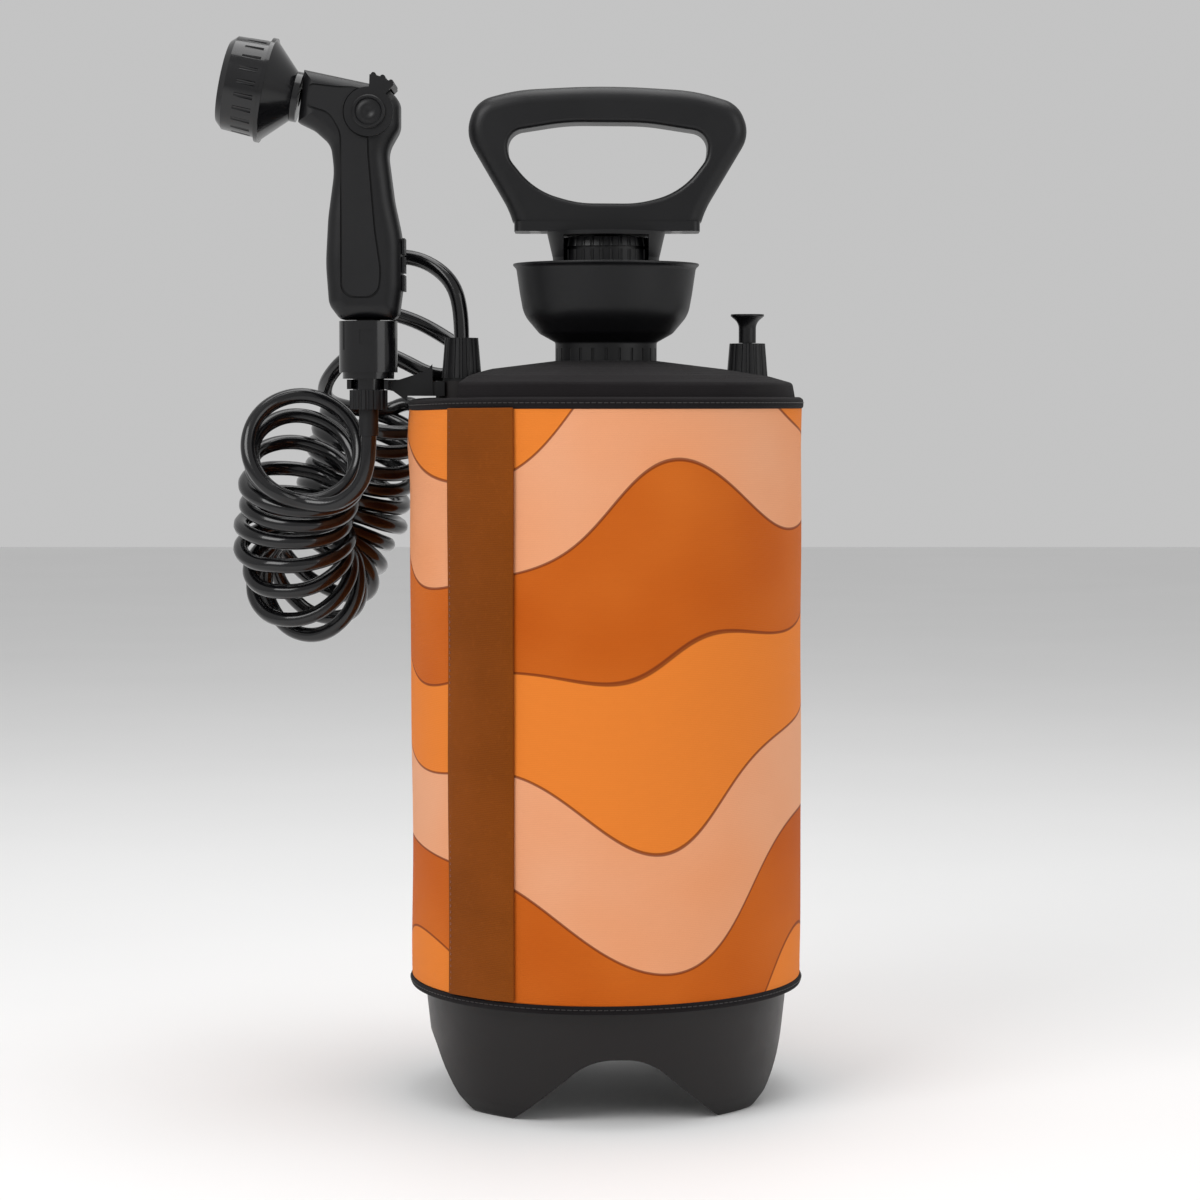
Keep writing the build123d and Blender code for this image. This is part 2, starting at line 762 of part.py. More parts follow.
def gun_shape():
    """The whole gun body with its edges rounded and its hollow for tube and spool."""
    body = along_y(grip_outline(), gun_y - gun_half_depth, gun_y + gun_half_depth)
    rims = body.edges().filter_by(
        lambda e: abs(abs(e.center().Y - gun_y) - gun_half_depth) < 0.01
    )
    body = fillet(rims, gun_edge_round)
    for face in (-1, 1):
        depth = gun_y + face * (gun_half_depth - panel_inlay + panel_proud)
        far = gun_y + face * 2 * gun_half_depth
        body -= along_y(panel_outline(panel_groove), min(depth, far), max(depth, far))
        disc = Pos(pivot_x, gun_y + face * (gun_half_depth + 5), pivot_z) * Rot(90, 0, 0)
        body -= disc * Cylinder(hub_radius + clear, 10)
    body -= rod_up(adaptor_radius + seat, grip_low - 1, grip_low + 12, gun_x, gun_y)
    body -= rod_up(water_tube_radius + seat, grip_low, pivot_z, gun_x, gun_y)
    body -= Pos(pivot_x, gun_y, pivot_z) * Rot(90, 0, 0) * Cylinder(spool_radius + running, 2 * spool_half_length + 2 * seat)
    body -= Pos(pivot_x, gun_y, pivot_z) * Rot(90, 0, 0) * Cylinder(lever_shaft_radius + running, 60)
    bore = Plane(origin=(gun_x, gun_y, pivot_z), z_dir=head_direction()) * Pos(0, 0, 20) * Cylinder(water_tube_radius, 60)
    return body - (bore - Pos(gun_x + 20, gun_y, pivot_z) * Box(40, 60, 60))


def head_direction():
    return (-cos(radians(head_tilt)), 0, sin(radians(head_tilt)))


def gun_half(side):
    keep = Pos(gun_x, gun_y + side * (50 + seat / 2), 450) * Box(300, 100, 400)
    return gun_shape() & keep


def gun_shell_front():
    return gun_half(-1)


def gun_shell_rear():
    return gun_half(1)


def gun_panel(side):
    """Softer inlay in one side of the gun, cut round the lever's hub."""
    inner = gun_half_depth - panel_inlay + panel_proud + seat
    outer = gun_half_depth + panel_proud
    near, far = sorted((gun_y + side * inner, gun_y + side * outer))
    plate = along_y(panel_outline(-panel_groove), near, far)
    return plate - Pos(pivot_x, gun_y, pivot_z) * Rot(90, 0, 0) * Cylinder(hub_radius + 2 * clear, 80)


def grip_ribs():
    """Three raised ribs on the back of the grip."""
    ribs = []
    for z in (414.3, 423.5, 432.7):
        ribs.append(Pos(gun_x + 18.3, gun_y, z) * Box(1.2, 15, 8))
    return ribs


def water_tube():
    body = rod_up(water_tube_radius, grip_low + 12 + seat, pivot_z - spool_radius - 1, gun_x, gun_y)
    return body - rod_up(water_tube_radius - water_tube_wall, grip_low, pivot_z, gun_x, gun_y)


def about_pivot():
    """Placing for round pieces on the lever's axis, which runs along Y."""
    return Pos(pivot_x, gun_y, pivot_z) * Rot(90, 0, 0)


def thumb_lever():
    """Two hubs beside the gun, joined over its top by a ridged thumb piece."""
    inner = gun_half_depth + seat
    outer = inner + hub_thickness
    band = Cylinder(lever_band_outer, 2 * outer) - Cylinder(lever_band_inner, 3 * outer)
    reach = 3 * lever_band_outer
    angles = (lever_from, (lever_from + lever_to) / 2, lever_to)
    corners = [(reach * cos(radians(a)), reach * sin(radians(a)), 0) for a in angles]
    wedge = extrude(make_face(Polyline((0, 0, 0), *corners, close=True)), amount=outer, both=True)
    body = band & wedge
    for i in range(lever_ridge_count):
        a = lever_from + 6 + (lever_to - lever_from - 12) * i / (lever_ridge_count - 1)
        body += Rot(0, 0, a) * Pos(lever_band_outer, 0, 0) * Cylinder(lever_ridge_radius, 2 * outer)
    for side in (-1, 1):
        middle = side * (inner + outer) / 2
        arm = Cylinder(lever_band_outer, hub_thickness) & extrude(
            make_face(Polyline((0, 0, 0), *corners, close=True)), amount=outer, both=True
        )
        body += Pos(0, 0, middle) * Cylinder(hub_radius, hub_thickness)
        body += Pos(0, 0, middle) * arm
    body -= Cylinder(lever_shaft_radius + seat, 80)
    return about_pivot() * body


def lever_shaft():
    """Square-ended shaft through both hubs, with the spool that opens the water."""
    outer = gun_half_depth + 2 * seat + hub_thickness
    body = Cylinder(lever_shaft_radius, 2 * outer) + Cylinder(spool_radius, 2 * spool_half_length)
    body -= Rot(90, 0, 0) * Cylinder(water_tube_radius - water_tube_wall, 60)
    return about_pivot() * body


def lever_caps():
    """A round cap on each hub."""
    low = gun_half_depth + 3 * seat + hub_thickness
    middle = low + lever_cap_thickness / 2
    return [
        about_pivot() * Pos(0, 0, side * middle) * Cylinder(lever_cap_radius, lever_cap_thickness)
        for side in (-1, 1)
    ]


def head_place():
    """Frame of the head: its own Z runs out through the spray face."""
    return Plane(origin=(head_x, gun_y, head_z), x_dir=(0, 1, 0), z_dir=head_direction())


def at_head(shape):
    return head_place() * shape


def neck_ring():
    body = ring(neck_ring_radius, water_tube_radius, -neck_ring_length / 2, neck_ring_length / 2)
    return at_head(body)


def cone_start():
    return neck_ring_length / 2 + seat


def flange_start():
    return cone_start() + cone_length


def dial_start():
    return flange_start() + flange_length + clear


def face_end():
    return dial_start() + dial_length + dial_bevel


def head_cone():
    """Hollow cone from the neck to the flange, with the spindle that carries the dial."""
    low = cone_start()
    wide = flange_start()
    end = face_end() - face_thickness - 3
    w = 2.4
    body = turned([
        (water_tube_radius, low), (neck_ring_radius - 0.4, low), (cone_flange_radius - 1, wide),
        (cone_flange_radius, wide), (cone_flange_radius, wide + flange_length), (spindle_radius, wide + flange_length),
        (spindle_radius, end), (1.5, end), (1.5, wide), (spindle_radius + 2, wide - 0.5),
        (cone_flange_radius - 2 * w, wide - w), (neck_ring_radius - 2 * w, low + 4), (water_tube_radius, low + 4),
    ])
    return at_head(body)


def spray_dial():
    """Ribbed ring that turns on the spindle, with a bevelled front edge."""
    low = dial_start()
    bevel = low + dial_length
    high = bevel + dial_bevel
    inner = dial_radius - dial_wall
    body = turned([
        (inner, low), (dial_radius, low), (dial_radius - 0.8, bevel), (dial_radius - 3.8, high),
        (dial_radius - 6, high), (dial_radius - 6, high - face_thickness), (inner, high - face_thickness - 1),
    ])
    for i in range(dial_slot_count):
        cutter = Pos(dial_radius + 0.1, 0, low + 2 + dial_slot_length / 2) * Cylinder(dial_slot_radius, dial_slot_length)
        body -= Rot(0, 0, 360 * i / dial_slot_count) * cutter
    scallop = Pos(dial_radius + 1, 0, high) * Sphere(scallop_radius)
    for i in range(scallop_count):
        body -= Rot(0, 0, 360 * i / scallop_count) * scallop
    return at_head(body)


def spray_face():
    """Front plate with its rings of nozzle holes, and the hub on the spindle."""
    high = face_end()
    low = high - face_thickness
    rim = dial_radius - 6 - seat
    body = rod_up(rim, low, high - 0.4)
    hub_low = dial_start() + 1
    body += ring(spindle_radius + 2.4, spindle_radius + running, hub_low, low)
    for radius, count in ((6, 6), (10, 12), (14, 18)):
        for i in range(count):
            body -= Rot(0, 0, 360 * i / count) * rod_up(nozzle_radius, low - 1, high + 1, radius)
    return at_head(body)


def head_seal():
    """Flat ring between the cone's flange and the face's hub."""
    low = flange_start() + flange_length + seat
    return at_head(ring(spindle_radius + 3, spindle_radius + seat, low, low + 1 - 2 * seat))


def gun_adaptor():
    """Spigot screwed into the grip, grooved for two O-rings, that plugs into the connector."""
    body = rod_up(adaptor_radius, 376, grip_low + 12 - seat)
    for z in o_ring_places():
        body -= ring(adaptor_radius + 1, adaptor_radius - o_ring_section, z, z + 2 * o_ring_section)
    return Pos(gun_x, gun_y, 0) * (body - rod_up(2.5, 370, 420))


def o_ring_places():
    return (379.0, 384.0)


def o_rings():
    return [
        Pos(gun_x, gun_y, 0) * ring(
            adaptor_radius + 0.3, adaptor_radius - o_ring_section + seat, z + seat, z + 2 * o_ring_section - seat
        )
        for z in o_ring_places()
    ]


def connector_body():
    """Socket for the spigot: a shroud over the fork, the neck held by the fork and the hose barb."""
    top = grip_low - 1
    bore = adaptor_radius + 0.3 + seat
    body = rod_up(10, shroud_low, top) + rod_up(shroud_radius, shroud_low, collar_low + 1.4)
    body += rod_up(connector_neck_radius, connector_neck_low, shroud_low)
    body += rod_up(4.6, nut_low + 2, connector_neck_low)
    body += rod_up(hose_bore, tail_low + 4, nut_low + 2)
    body -= rod_up(bore, 375.5, top + 1)
    return Pos(gun_x, gun_y, 0) * (body - rod_up(1.6, 330, 400))


def spring_ends():
    return collar_low + 1.4 + seat, collar_low + 10


def collar_spring():
    low, high = spring_ends()
    return ring(12.2, 10.3, low, high - seat, gun_x, gun_y)


def release_collar():
    """Sliding collar with a window and an inner ledge for its spring."""
    ledge_low = spring_ends()[1]
    body = ring(collar_radius, collar_radius - collar_wall, collar_low, collar_top)
    body += ring(collar_radius - 1, 10 + running, ledge_low, ledge_low + 2)
    body -= Pos(0, -collar_radius, collar_top - 8) * Box(7, 2.2, 7.5)
    body -= Pos(-collar_radius + 2.4, -collar_radius + 4.5, collar_top - 7) * Box(2.2, 4, 15)
    return Pos(gun_x, gun_y, 0) * body


def hose_nut():
    """Ribbed nut that clamps the hose on the connector."""
    body = fluted(nut_radius, nut_radius, nut_low, connector_neck_low - seat, rib_count, rib_groove_radius)
    body -= rod_up(4.6 + seat, nut_low + 2 - seat, 400)
    return Pos(gun_x, gun_y, 0) * (body - rod_up(hose_bore + seat, 330, 400))


def hose_sleeve():
    """Short sleeve of the strain relief under the nut."""
    body = ring(tail_radius, hose_bore + seat, tail_low + 3.5, nut_low - seat)
    body += ring(tail_radius, hose_bore + 1, tail_low + seat, tail_low + 4)
    return Pos(gun_x, gun_y, 0) * body


pieces = {
    "base": base,
    "tank": tank,
    "sleeve_body": sleeve_body,
    "sleeve_bottom_binding": bottom_binding,
    "sleeve_top_binding": top_binding,
    "sleeve_top_panel": top_panel,
    "closure_tape": closure_tape,
    "closure_strip": closure_strip,
    "bowl_gasket": bowl_gasket,
    "filler_bowl": filler_bowl,
    "neck_seal": neck_seal,
    "pump_cap": pump_cap,
    "rod_guide": rod_guide,
    "pump_barrel": pump_barrel,
    "barrel_foot": barrel_foot,
    "check_valve": check_valve,
    "piston": piston,
    "piston_ring": piston_ring,
    "plunger_rod": plunger_rod,
    "rod_nut": rod_nut,
    "handle": handle,
    "handle_plate": handle_plate,
    "handle_screws": handle_screws,
    "lock_prongs": lock_prongs,
    "relief_gasket": relief_gasket,
    "relief_body": relief_body,
    "relief_seal": relief_seal,
    "relief_spring": relief_spring,
    "relief_knob": relief_knob,
    "outlet_gasket": outlet_gasket,
    "outlet_fitting": outlet_fitting,
    "outlet_nut": outlet_nut,
    "outlet_lock_nut": lock_nut,
    "dip_tube": dip_tube,
    "strainer": strainer,
    "gun_holder": gun_holder,
    "gun_shell_front": gun_shell_front,
    "gun_shell_rear": gun_shell_rear,
    "gun_panel_front": lambda: gun_panel(-1),
    "gun_panel_rear": lambda: gun_panel(1),
    "grip_ribs": grip_ribs,
    "water_tube": water_tube,
    "thumb_lever": thumb_lever,
    "lever_shaft": lever_shaft,
    "lever_caps": lever_caps,
    "neck_ring": neck_ring,
    "head_cone": head_cone,
    "head_seal": head_seal,
    "spray_dial": spray_dial,
    "spray_face": spray_face,
    "gun_adaptor": gun_adaptor,
    "o_rings": o_rings,
    "connector_body": connector_body,
    "collar_spring": collar_spring,
    "release_collar": release_collar,
    "hose_nut": hose_nut,
    "hose_sleeve": hose_sleeve,
    "hose_lead": hose_lead,
    "hose_coil": hose_coil,
    "hose_tail": hose_tail,
}

os.makedirs("parts", exist_ok=True)
for name, make in pieces.items():
    made = make()
    solids = []
    for shape in made if isinstance(made, list) else [made]:
        solids += shape.solids()
    whole = solids[0] if len(solids) == 1 else Compound(children=solids)
    export_step(whole, f"parts/{name}.step")
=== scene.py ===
import json
import math

import bmesh
import bpy
from bpy.props import FloatProperty, FloatVectorProperty, IntProperty, PointerProperty
from mathutils import Matrix, Vector


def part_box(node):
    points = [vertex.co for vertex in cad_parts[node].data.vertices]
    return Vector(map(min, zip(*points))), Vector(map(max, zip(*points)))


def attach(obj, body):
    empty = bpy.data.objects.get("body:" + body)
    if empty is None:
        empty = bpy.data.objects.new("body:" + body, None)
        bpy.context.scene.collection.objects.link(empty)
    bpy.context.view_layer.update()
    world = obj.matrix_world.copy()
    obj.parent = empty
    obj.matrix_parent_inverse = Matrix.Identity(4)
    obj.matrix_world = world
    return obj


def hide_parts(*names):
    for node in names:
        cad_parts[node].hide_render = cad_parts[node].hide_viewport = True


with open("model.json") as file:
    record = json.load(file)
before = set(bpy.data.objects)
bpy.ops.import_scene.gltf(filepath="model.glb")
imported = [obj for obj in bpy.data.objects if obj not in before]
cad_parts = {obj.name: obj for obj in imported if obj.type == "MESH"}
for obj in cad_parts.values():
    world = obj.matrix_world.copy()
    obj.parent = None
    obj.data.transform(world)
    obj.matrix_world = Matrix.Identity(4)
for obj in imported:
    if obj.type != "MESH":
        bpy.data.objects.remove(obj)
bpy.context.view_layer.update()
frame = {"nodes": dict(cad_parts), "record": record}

bl_info = {
    "name": "Portable Shower",
    "version": (1, 0, 0),
    "blender": (4, 5, 0),
    "location": "View3D > Sidebar > Shower",
    "description": "Dresses the packed portable shower with fabric, hose, finishes and a studio",
    "category": "Object",
}

mm = 0.001

# Tank and sleeve, millimetres, as in the part
sleeve_radius = 100.0
sleeve_low = 61.0
sleeve_high = 352.0
strip_from = -50.0
strip_to = -26.5
tape_thickness = 0.9
outlet_x = -73.8
outlet_top = 387.4
gun_x = -120.0
gun_y = -20.0
tail_low = 337.6
hose_radius = 3.9
binding_low = 57.0
binding_high = 357.2

# Print of the sleeve: height of one band, and for each wave its count round the tank, height in bands,
# start and lean
band_height = 58.0
band_waves = ((2.0, 0.42, 0.4, 0.9), (3.0, 0.24, 2.1, -1.3), (5.0, 0.10, 4.0, 1.7))
lean_scale = 10.0
band_count = 3.0
knit_pitch = 0.9
knit_depth = 0.05

# Studio, metres
camera_side = -0.00308
sensor_width = 36.0
light_aim = (0.0, 0.0, 0.25)
light_rows = (
    ("Key", (-1.1, -1.2, 1.5), 1.1),
    ("Fill", (1.5, -1.1, 0.9), 1.2),
    ("Top", (0.1, 0.1, 1.9), 1.4),
)
top_share = 0.9
air_strength = 0.55
floor_half = 6.0

# Thread, millimetres
seam_thread = 0.22
flap_thread = 0.28
black_thread = (0.02, 0.018, 0.018)
brown_thread = (0.16, 0.04, 0.01)

# Mesh fineness
route_samples = 400
round_steps = 128
sleeve_steps = 192
binding_steps = 160
cap_steps = 64

# Hose route, the part's own points
lead_points = [
    (outlet_x, 0.0, outlet_top), (outlet_x, 0.0, 401.5), (-79.0, 3.0, 417.5), (-94.0, 9.0, 428.0),
    (-112.0, 16.0, 430.0), (-129.0, 24.0, 425.5), (-139.5, 37.0, 417.0), (-135.0, 53.0, 408.5),
    (-119.0, 62.0, 403.0), (-101.0, 65.0, 398.0), (-85.0, 64.0, 389.0), (-72.5, 55.0, 380.0),
    (-69.2, 39.5, 374.0), (-75.5, 24.5, 368.5), (-90.0, 16.5, 368.0), (-104.0, 18.5, 375.5),
    (-119.0, 24.0, 382.0), (-134.5, 32.0, 379.0), (-146.0, 45.0, 368.0), (-150.0, 61.0, 359.0),
    (-147.0, 77.0, 354.0), (-136.0, 92.0, 351.0), (-120.0, 99.0, 349.0),
]
coil_points = [
    (-153.0, -4.0, 332.0), (-156.0, 14.0, 327.0), (-161.0, 27.0, 301.0), (-163.5, 37.0, 271.0),
    (-158.0, 58.0, 256.0), (-148.0, 80.0, 271.0), (-136.0, 85.0, 305.0), (-126.0, 77.0, 334.0),
    (-122.0, 72.0, 352.0),
]
tail_points = [
    (gun_x, gun_y, tail_low), (gun_x, gun_y, 322.6), (-126.5, -17.6, 309.0), (-140.0, -12.9, 301.5),
    (-156.0, -7.3, 303.6),
]


class ShowerSizes(bpy.types.PropertyGroup):
    """Sizes that change how the soft pieces look."""

    coil_radius: FloatProperty(
        name="Coil radius", description="Radius of the curly hose's turns to the hose's middle",
        default=28.0 * mm, unit="LENGTH",
    )
    coil_turns: IntProperty(
        name="Coil turns", description="Whole turns in the curly hose", default=19, min=1,
    )
    coil_looseness: FloatProperty(
        name="Coil looseness", description="How much the turns differ in radius",
        default=1.4 * mm, unit="LENGTH",
    )
    sleeve_thickness: FloatProperty(
        name="Sleeve thickness", description="Thickness of the neoprene sleeve",
        default=3.2 * mm, unit="LENGTH",
    )
    sleeve_unevenness: FloatProperty(
        name="Sleeve unevenness", description="How far the sleeve's surface wanders",
        default=0.5 * mm, unit="LENGTH",
    )
    stitch_length: FloatProperty(
        name="Stitch length", description="Length of one stitch along a seam",
        default=3.0 * mm, unit="LENGTH",
    )


class ShowerColours(bpy.types.PropertyGroup):
    """Colours of the fabric and the mouldings."""

    orange: FloatVectorProperty(
        name="Orange", description="Main colour of the printed sleeve", subtype="COLOR",
        default=(0.78, 0.215, 0.028),
    )
    deep_orange: FloatVectorProperty(
        name="Deep orange", description="Darker bands of the print", subtype="COLOR",
        default=(0.50, 0.095, 0.004),
    )
    peach: FloatVectorProperty(
        name="Peach", description="Pale bands of the print", subtype="COLOR", default=(0.80, 0.38, 0.21),
    )
    outline: FloatVectorProperty(
        name="Outline", description="Thin lines between the bands", subtype="COLOR",
        default=(0.16, 0.025, 0.004),
    )
    strip: FloatVectorProperty(
        name="Flap", description="Closure flap", subtype="COLOR", default=(0.215, 0.050, 0.001),
    )
    black_fabric: FloatVectorProperty(
        name="Black fabric", description="Panel and bindings", subtype="COLOR",
        default=(0.0075, 0.0060, 0.0068),
    )
    moulding: FloatVectorProperty(
        name="Moulding", description="Black moulded pieces", subtype="COLOR",
        default=(0.0035, 0.0035, 0.0042),
    )
    base: FloatVectorProperty(
        name="Base", description="Base moulding", subtype="COLOR", default=(0.0055, 0.0040, 0.0040),
    )


class StudioSettings(bpy.types.PropertyGroup):
    """Where the camera stands and how strong the lights are."""

    camera_distance: FloatProperty(
        name="Camera distance", description="From the tank's axis to the camera",
        default=1.610, unit="LENGTH",
    )
    camera_height: FloatProperty(
        name="Camera height", description="Above the floor", default=0.3556, unit="LENGTH",
    )
    camera_tilt: FloatProperty(
        name="Camera tilt", description="How far the camera looks down", default=math.radians(3.64),
        subtype="ANGLE",
    )
    lens: FloatProperty(name="Lens", description="Focal length in millimetres", default=94.2)
    key_power: FloatProperty(name="Key power", description="Watts of the main soft light", default=20.0)
    fill_power: FloatProperty(name="Fill power", description="Watts of the soft fill light", default=7.0)


# Small helpers

def metres(points):
    return [Vector(p) * mm for p in points]


def link(obj):
    bpy.context.scene.collection.objects.link(obj)
    return obj


def object_from(bm, name, material=None, sharp=math.radians(40)):
    """Make a smooth-shaded object from a bmesh and free the bmesh."""
    mesh = bpy.data.meshes.new(name)
    bm.to_mesh(mesh)
    bm.free()
    mesh.shade_smooth()
    mesh.set_sharp_from_angle(angle=sharp)
    if material is not None:
        mesh.materials.append(material)
    return link(bpy.data.objects.new(name, mesh))


def nurbs(curve, points):
    spline = curve.splines.new("NURBS")
    spline.points.add(len(points) - 1)
    for point, place in zip(spline.points, points):
        point.co = (*place, 1.0)
    spline.order_u = 3
    spline.use_endpoint_u = True
    return spline


def read_route(points, resolution=16):
    """Points along the smooth line of a route."""
    curve = bpy.data.curves.new("route", "CURVE")
    curve.dimensions = "3D"
    curve.resolution_u = resolution
    nurbs(curve, points)
    guide = link(bpy.data.objects.new("route", curve))
    mesh = bpy.data.meshes.new_from_object(guide)
    places = [v.co.copy() for v in mesh.vertices]
    bpy.data.objects.remove(guide)
    bpy.data.curves.remove(curve)
    bpy.data.meshes.remove(mesh)
    return places


def evenly(places, count):
    """The same line as equally spaced points."""
    lengths = [0.0]
    for a, b in zip(places, places[1:]):
        lengths.append(lengths[-1] + (b - a).length)
    out = []
    k = 0
    for i in range(count):
        want = lengths[-1] * i / (count - 1)
        while k < len(places) - 2 and lengths[k + 1] < want:
            k += 1
        part = (want - lengths[k]) / (lengths[k + 1] - lengths[k])
        out.append(places[k].lerp(places[k + 1], part))
    return out


def spun(points, steps=round_steps):
    """Turn an outline of radius and height, in millimetres, round the Z axis."""
    bm = bmesh.new()
    verts = [bm.verts.new((r * mm, 0.0, z * mm)) for r, z in points]
    edges = [bm.edges.new(pair) for pair in zip(verts, verts[1:] + verts[:1])]
    bmesh.ops.spin(
        bm, geom=verts + edges, cent=(0, 0, 0), axis=(0, 0, 1), angle=2 * math.pi, steps=steps,
        use_merge=True,
    )
    bmesh.ops.remove_doubles(bm, verts=bm.verts, dist=1e-7)
    bmesh.ops.recalc_face_normals(bm, faces=bm.faces)
    return bm


def round_edges(bm, width, segments=3, sharper_than=math.radians(30)):
    """Bevel the edges that turn by more than an angle."""
    edges = [e for e in bm.edges if len(e.link_faces) == 2 and e.calc_face_angle() > sharper_than]
    bmesh.ops.bevel(
        bm, geom=edges, offset=width, offset_type="OFFSET", segments=segments, profile=0.5,
        affect="EDGES", material=-1, clamp_overlap=True,
    )


def wall_point(angle, radius, height):
    """A place round the tank: angle in degrees counted from the front, the rest in millimetres."""
    a = math.radians(angle)
    return Vector((radius * math.sin(a), -radius * math.cos(a), height)) * mm


def stitches(name, runs, radius, material):
    """Short rods of thread, one for each pair of ends."""
    bm = bmesh.new()
    for start, end in runs:
        along = end - start
        turn = along.to_track_quat("Z", "Y").to_matrix().to_4x4()
        bmesh.ops.create_cone(
            bm, cap_ends=True, segments=6, radius1=radius, radius2=radius, depth=along.length,
            matrix=Matrix.Translation((start + end) / 2) @ turn,
        )
    return object_from(bm, name, material)


# Shader node groups

def new_group(name, inputs, outputs):
    tree = bpy.data.node_groups.new(name, "ShaderNodeTree")
    for label, kind, value in inputs:
        socket = tree.interface.new_socket(label, in_out="INPUT", socket_type=kind)
        if value is not None:
            socket.default_value = value
    for label, kind in outputs:
        tree.interface.new_socket(label, in_out="OUTPUT", socket_type=kind)
    return tree, tree.nodes.new("NodeGroupInput"), tree.nodes.new("NodeGroupOutput")


def math_node(tree, operation, first, second=None, third=None):
    """A Math node; each input is a socket or a number."""
    node = tree.nodes.new("ShaderNodeMath")
    node.operation = operation
    for i, value in enumerate((first, second, third)):
        if value is None:
            continue
        if isinstance(value, (int, float)):
            node.inputs[i].default_value = value
        else:
            tree.links.new(value, node.inputs[i])
    return node.outputs[0]


def mix_colour(tree, amount, first, second):
    node = tree.nodes.new("ShaderNodeMix")
    node.data_type = "RGBA"
    for socket, value in ((node.inputs["Factor"], amount), (node.inputs[6], first), (node.inputs[7], second)):
        if isinstance(value, (int, float)):
            socket.default_value = value
        elif isinstance(value, bpy.types.NodeSocket):
            tree.links.new(value, socket)
        else:
            socket.default_value = (*value, 1.0)
    return node.outputs[2]


def noise(tree, vector, scale, detail=3.0, roughness=0.5):
    node = tree.nodes.new("ShaderNodeTexNoise")
    node.inputs["Scale"].default_value = scale
    node.inputs["Detail"].default_value = detail
    node.inputs["Roughness"].default_value = roughness
    tree.links.new(vector, node.inputs["Vector"])
    return node.outputs["Fac"]


def ramp(tree, value, low, high):
    """Stretch a value so that low becomes 0 and high becomes 1, clamped."""
    node = tree.nodes.new("ShaderNodeMapRange")
    tree.links.new(value, node.inputs["Value"])
    node.inputs["From Min"].default_value = low
    node.inputs["From Max"].default_value = high
    return node.outputs["Result"]


def grain_group():
    """Fine moulded grain with slow changes of gloss and a trace of settled dust."""
    tree, inside, out = new_group(
        "Moulded grain",
        [("Vector", "NodeSocketVector", None), ("Colour", "NodeSocketColor", None),
         ("Roughness", "NodeSocketFloat", 0.4), ("Grain", "NodeSocketFloat", 1.0),
         ("Dust", "NodeSocketFloat", 0.02)],
        [("Colour", "NodeSocketColor"), ("Roughness", "NodeSocketFloat"), ("Height", "NodeSocketFloat")],
    )
    vector = inside.outputs["Vector"]
    fine = noise(tree, vector, 2600.0, 2.0)
    middle = noise(tree, vector, 420.0, 3.0)
    slow = noise(tree, vector, 24.0, 4.0, 0.6)
    smears = noise(tree, vector, 75.0, 5.0, 0.65)
    height = math_node(tree, "ADD", fine, math_node(tree, "MULTIPLY", middle, 0.8))
    height = math_node(tree, "MULTIPLY", height, inside.outputs["Grain"])
    change = math_node(tree, "MULTIPLY", math_node(tree, "SUBTRACT", slow, 0.5), 0.22)
    smeared = math_node(tree, "MULTIPLY", math_node(tree, "SUBTRACT", smears, 0.5), 0.10)
    change = math_node(tree, "ADD", change, smeared)
    rough = math_node(tree, "ADD", inside.outputs["Roughness"], change)
    geometry = tree.nodes.new("ShaderNodeNewGeometry")
    split = tree.nodes.new("ShaderNodeSeparateXYZ")
    tree.links.new(geometry.outputs["Normal"], split.inputs[0])
    upward = ramp(tree, split.outputs["Z"], 0.55, 1.0)
    settled = math_node(tree, "MULTIPLY", upward, ramp(tree, smears, 0.35, 0.75))
    settled = math_node(tree, "MULTIPLY", settled, inside.outputs["Dust"])
    dust_colour = (0.20, 0.19, 0.18)
    tree.links.new(mix_colour(tree, settled, inside.outputs["Colour"], dust_colour), out.inputs["Colour"])
    tree.links.new(rough, out.inputs["Roughness"])
    tree.links.new(height, out.inputs["Height"])
    return tree


def knit_group():
    """Fine knitted face of laminated neoprene or tape, on cylinder coordinates in metres, with a painted
    shade mask that is darker where the knit is low.
    """
    tree, inside, out = new_group(
        "Knit face",
        [("Around", "NodeSocketFloat", 0.0), ("Up", "NodeSocketFloat", 0.0),
         ("Pitch", "NodeSocketFloat", 0.0008)],
        [("Height", "NodeSocketFloat"), ("Painted shade", "NodeSocketFloat")],
    )
    across = math_node(tree, "DIVIDE", inside.outputs["Around"], inside.outputs["Pitch"])
    along = math_node(tree, "DIVIDE", inside.outputs["Up"], inside.outputs["Pitch"])
    turn = 2 * math.pi
    ribs = math_node(tree, "SINE", math_node(tree, "MULTIPLY", across, turn))
    ridge = math_node(tree, "ABSOLUTE", ribs)
    lean = math_node(tree, "ADD", along, math_node(tree, "MULTIPLY", ridge, 0.5))
    loops = math_node(tree, "SINE", math_node(tree, "MULTIPLY", lean, turn))
    height = math_node(tree, "ADD", ridge, math_node(tree, "MULTIPLY", loops, 0.45))
    tree.links.new(height, out.inputs["Height"])
    # Painted shade: 0 where the knit is lowest and 1 where it is highest, used to darken the cloth's colour
    # in the knit's low places
    tree.links.new(ramp(tree, height, -0.4, 1.3), out.inputs["Painted shade"])
    return tree


